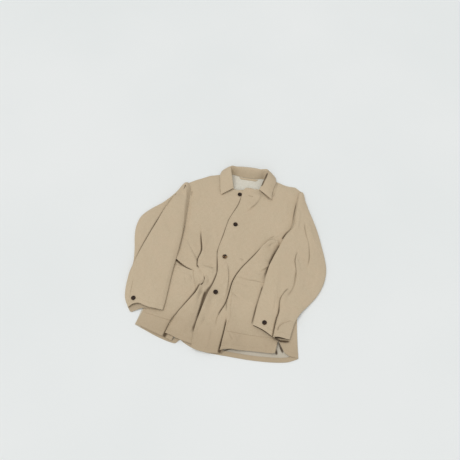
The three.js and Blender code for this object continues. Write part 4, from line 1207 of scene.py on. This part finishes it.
def paint(made, material):
    for v in made["verts"]:
        for face in v.link_faces:
            face.material_index = material


def makeButton(name):
    low, high = (np.array(c) * 1000 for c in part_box(name))
    centre = (low + high) / 2
    radius = (high[0] - low[0]) / 2
    tilt = Vector((0, 0, 0))
    for face in bpy.data.objects[name].data.polygons:  # the solid's own tilt, from its upper faces
        if face.normal.z > 0.8:
            tilt += face.normal * face.area
    tilt.normalize()
    look = buttonLook
    half = look["thick"] / 2
    inDish = half - look["dish"]
    bm = bmesh.new()
    profile = [(0.0, -half), (radius - look["foot"], -half), (radius, -0.4), (radius, half - look["rim"]),
               (radius - look["rim"], half), (radius - look["land"], half), (radius - look["slope"], inDish),
               (0.0, inDish)]
    chain = [bm.verts.new((r / 1000, 0, h / 1000)) for r, h in profile]
    edges = [bm.edges.new(pair) for pair in zip(chain[:-1], chain[1:])]
    bmesh.ops.spin(bm, geom=chain + edges, cent=(0, 0, 0), axis=(0, 0, 1), angle=2 * math.pi, steps=40,
                   use_merge=True)
    bmesh.ops.remove_doubles(bm, verts=bm.verts, dist=1e-6)
    rounded = [e for e in bm.edges if len(e.link_faces) == 2 and e.calc_face_angle(0) > 0.35]
    bmesh.ops.bevel(bm, geom=rounded, offset=0.00025, segments=2, profile=0.5, affect="EDGES", material=-1)
    bmesh.ops.recalc_face_normals(bm, faces=bm.faces)
    floorAt = inDish / 1000
    away = look["holeRing"] / 1000 * math.sqrt(0.5)
    # painted shade: near-black discs on the dish floor stand for the four open holes
    for sideX, sideY in ((-1, -1), (-1, 1), (1, -1), (1, 1)):
        at = Matrix.Translation((sideX * away, sideY * away, floorAt + 3e-5))
        paint(bmesh.ops.create_circle(bm, cap_ends=True, segments=12, radius=look["hole"] / 1000, matrix=at), 1)
    for sideY in (-1, 1):  # thread bars from hole to hole
        at = Matrix.Translation((0, sideY * away, floorAt + 1e-4))
        at = at @ Matrix.Diagonal((away * 1.35, look["barWide"] / 1000, look["barThick"] / 1000, 1))
        paint(bmesh.ops.create_uvsphere(bm, u_segments=10, v_segments=8, radius=1.0, matrix=at), 2)
    for face in bm.faces:
        face.smooth = True
    place = Matrix.Translation(centre / 1000) @ Vector((0, 0, 1)).rotation_difference(tilt).to_matrix().to_4x4()
    bm.transform(place)
    horn = "paleHorn" if name == "button_waist" else "horn"
    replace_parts(addPiece(f"{name}_horn", bm, [horn, "hole", "darkThread"]), name)


for name in ("button_neck", "button_chest", "button_waist", "button_hip", "button_cuff_right", "button_cuff_left"):
    makeButton(name)
say("buttons sewn on")

# buttonholes
holeLook = {
    "short": 7.5, "long": 12.5,  # the slit's reach from the button, to the edge and away from it
    "bar": 2.0, "thick": 0.5, "step": 0.75, "apart": 0.95,  # its stitches
    "endBar": 4.2, "endThick": 0.8, "slit": 0.45, "neckHeight": 325.0,
}


def makeButtonholes():
    p = forms["left"][0]
    normals = gridNormals(p)
    bm = bmesh.new()

    def bead(cx, cy, along, across, way, length, thick, material):
        # one flat stitch on the cloth, beside the button at cx, cy
        x, y = np.array((cx, cy)) + along * inward + across * edgeWay
        k = np.unravel_index(np.argmin(np.hypot(p[..., 0] - x, p[..., 1] - y)), p.shape[:2])
        up = normals[k]
        z = p[k][2] - (up[0] * (x - p[k][0]) + up[1] * (y - p[k][1])) / up[2]
        way = Vector((*way, -(up[0] * way[0] + up[1] * way[1]) / up[2])).normalized()
        top = Vector(up)
        turn = Matrix((way, top.cross(way), top)).transposed().to_4x4()
        size = Matrix.Diagonal((length / 2000, thick / 2000, thick / 2600, 1))
        made = bmesh.ops.create_uvsphere(bm, u_segments=8, v_segments=6, radius=1.0,
                                         matrix=Matrix.Translation(toMetres((x, y, z + 0.1))) @ turn @ size)
        paint(made, material)

    places = []
    for name in ("button_chest", "button_waist", "button_hip"):
        low, high = (np.array(c) * 1000 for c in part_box(name))
        places.append((low[:2] + high[:2]) / 2 + np.array(layout["middle"]))
    height = holeLook["neckHeight"]
    fromEdge = places[0][0] - sideAt(leftFront, "edge", np.array([places[0][1]]))[0]
    places.append(np.array((sideAt(leftFront, "edge", np.array([height]))[0] + fromEdge, height)))
    for cx, cy in places:
        below, above = sideAt(leftFront, "edge", np.array([cy - 6, cy + 6]))
        edgeWay = np.array((above - below, 12.0))
        edgeWay /= np.linalg.norm(edgeWay)
        inward = np.array((edgeWay[1], -edgeWay[0]))
        short, long, apart = -holeLook["short"], holeLook["long"], holeLook["apart"]
        for along in np.arange(short, long + 0.1, holeLook["step"]):
            for across in (-apart, apart):
                bead(cx, cy, along, across, edgeWay, holeLook["bar"], holeLook["thick"], 0)
        for along in (short - 0.5, long + 0.5):
            bead(cx, cy, along, 0.0, edgeWay, holeLook["endBar"], holeLook["endThick"], 0)
        # painted shade: a dark sliver stands for the open slit
        bead(cx, cy, (short + long) / 2, 0.0, inward, long - short, holeLook["slit"], 1)
    for face in bm.faces:
        face.smooth = True
    addPiece("buttonholes", bm, ["thread", "hole"])


makeButtonholes()
say("buttonholes sewn")
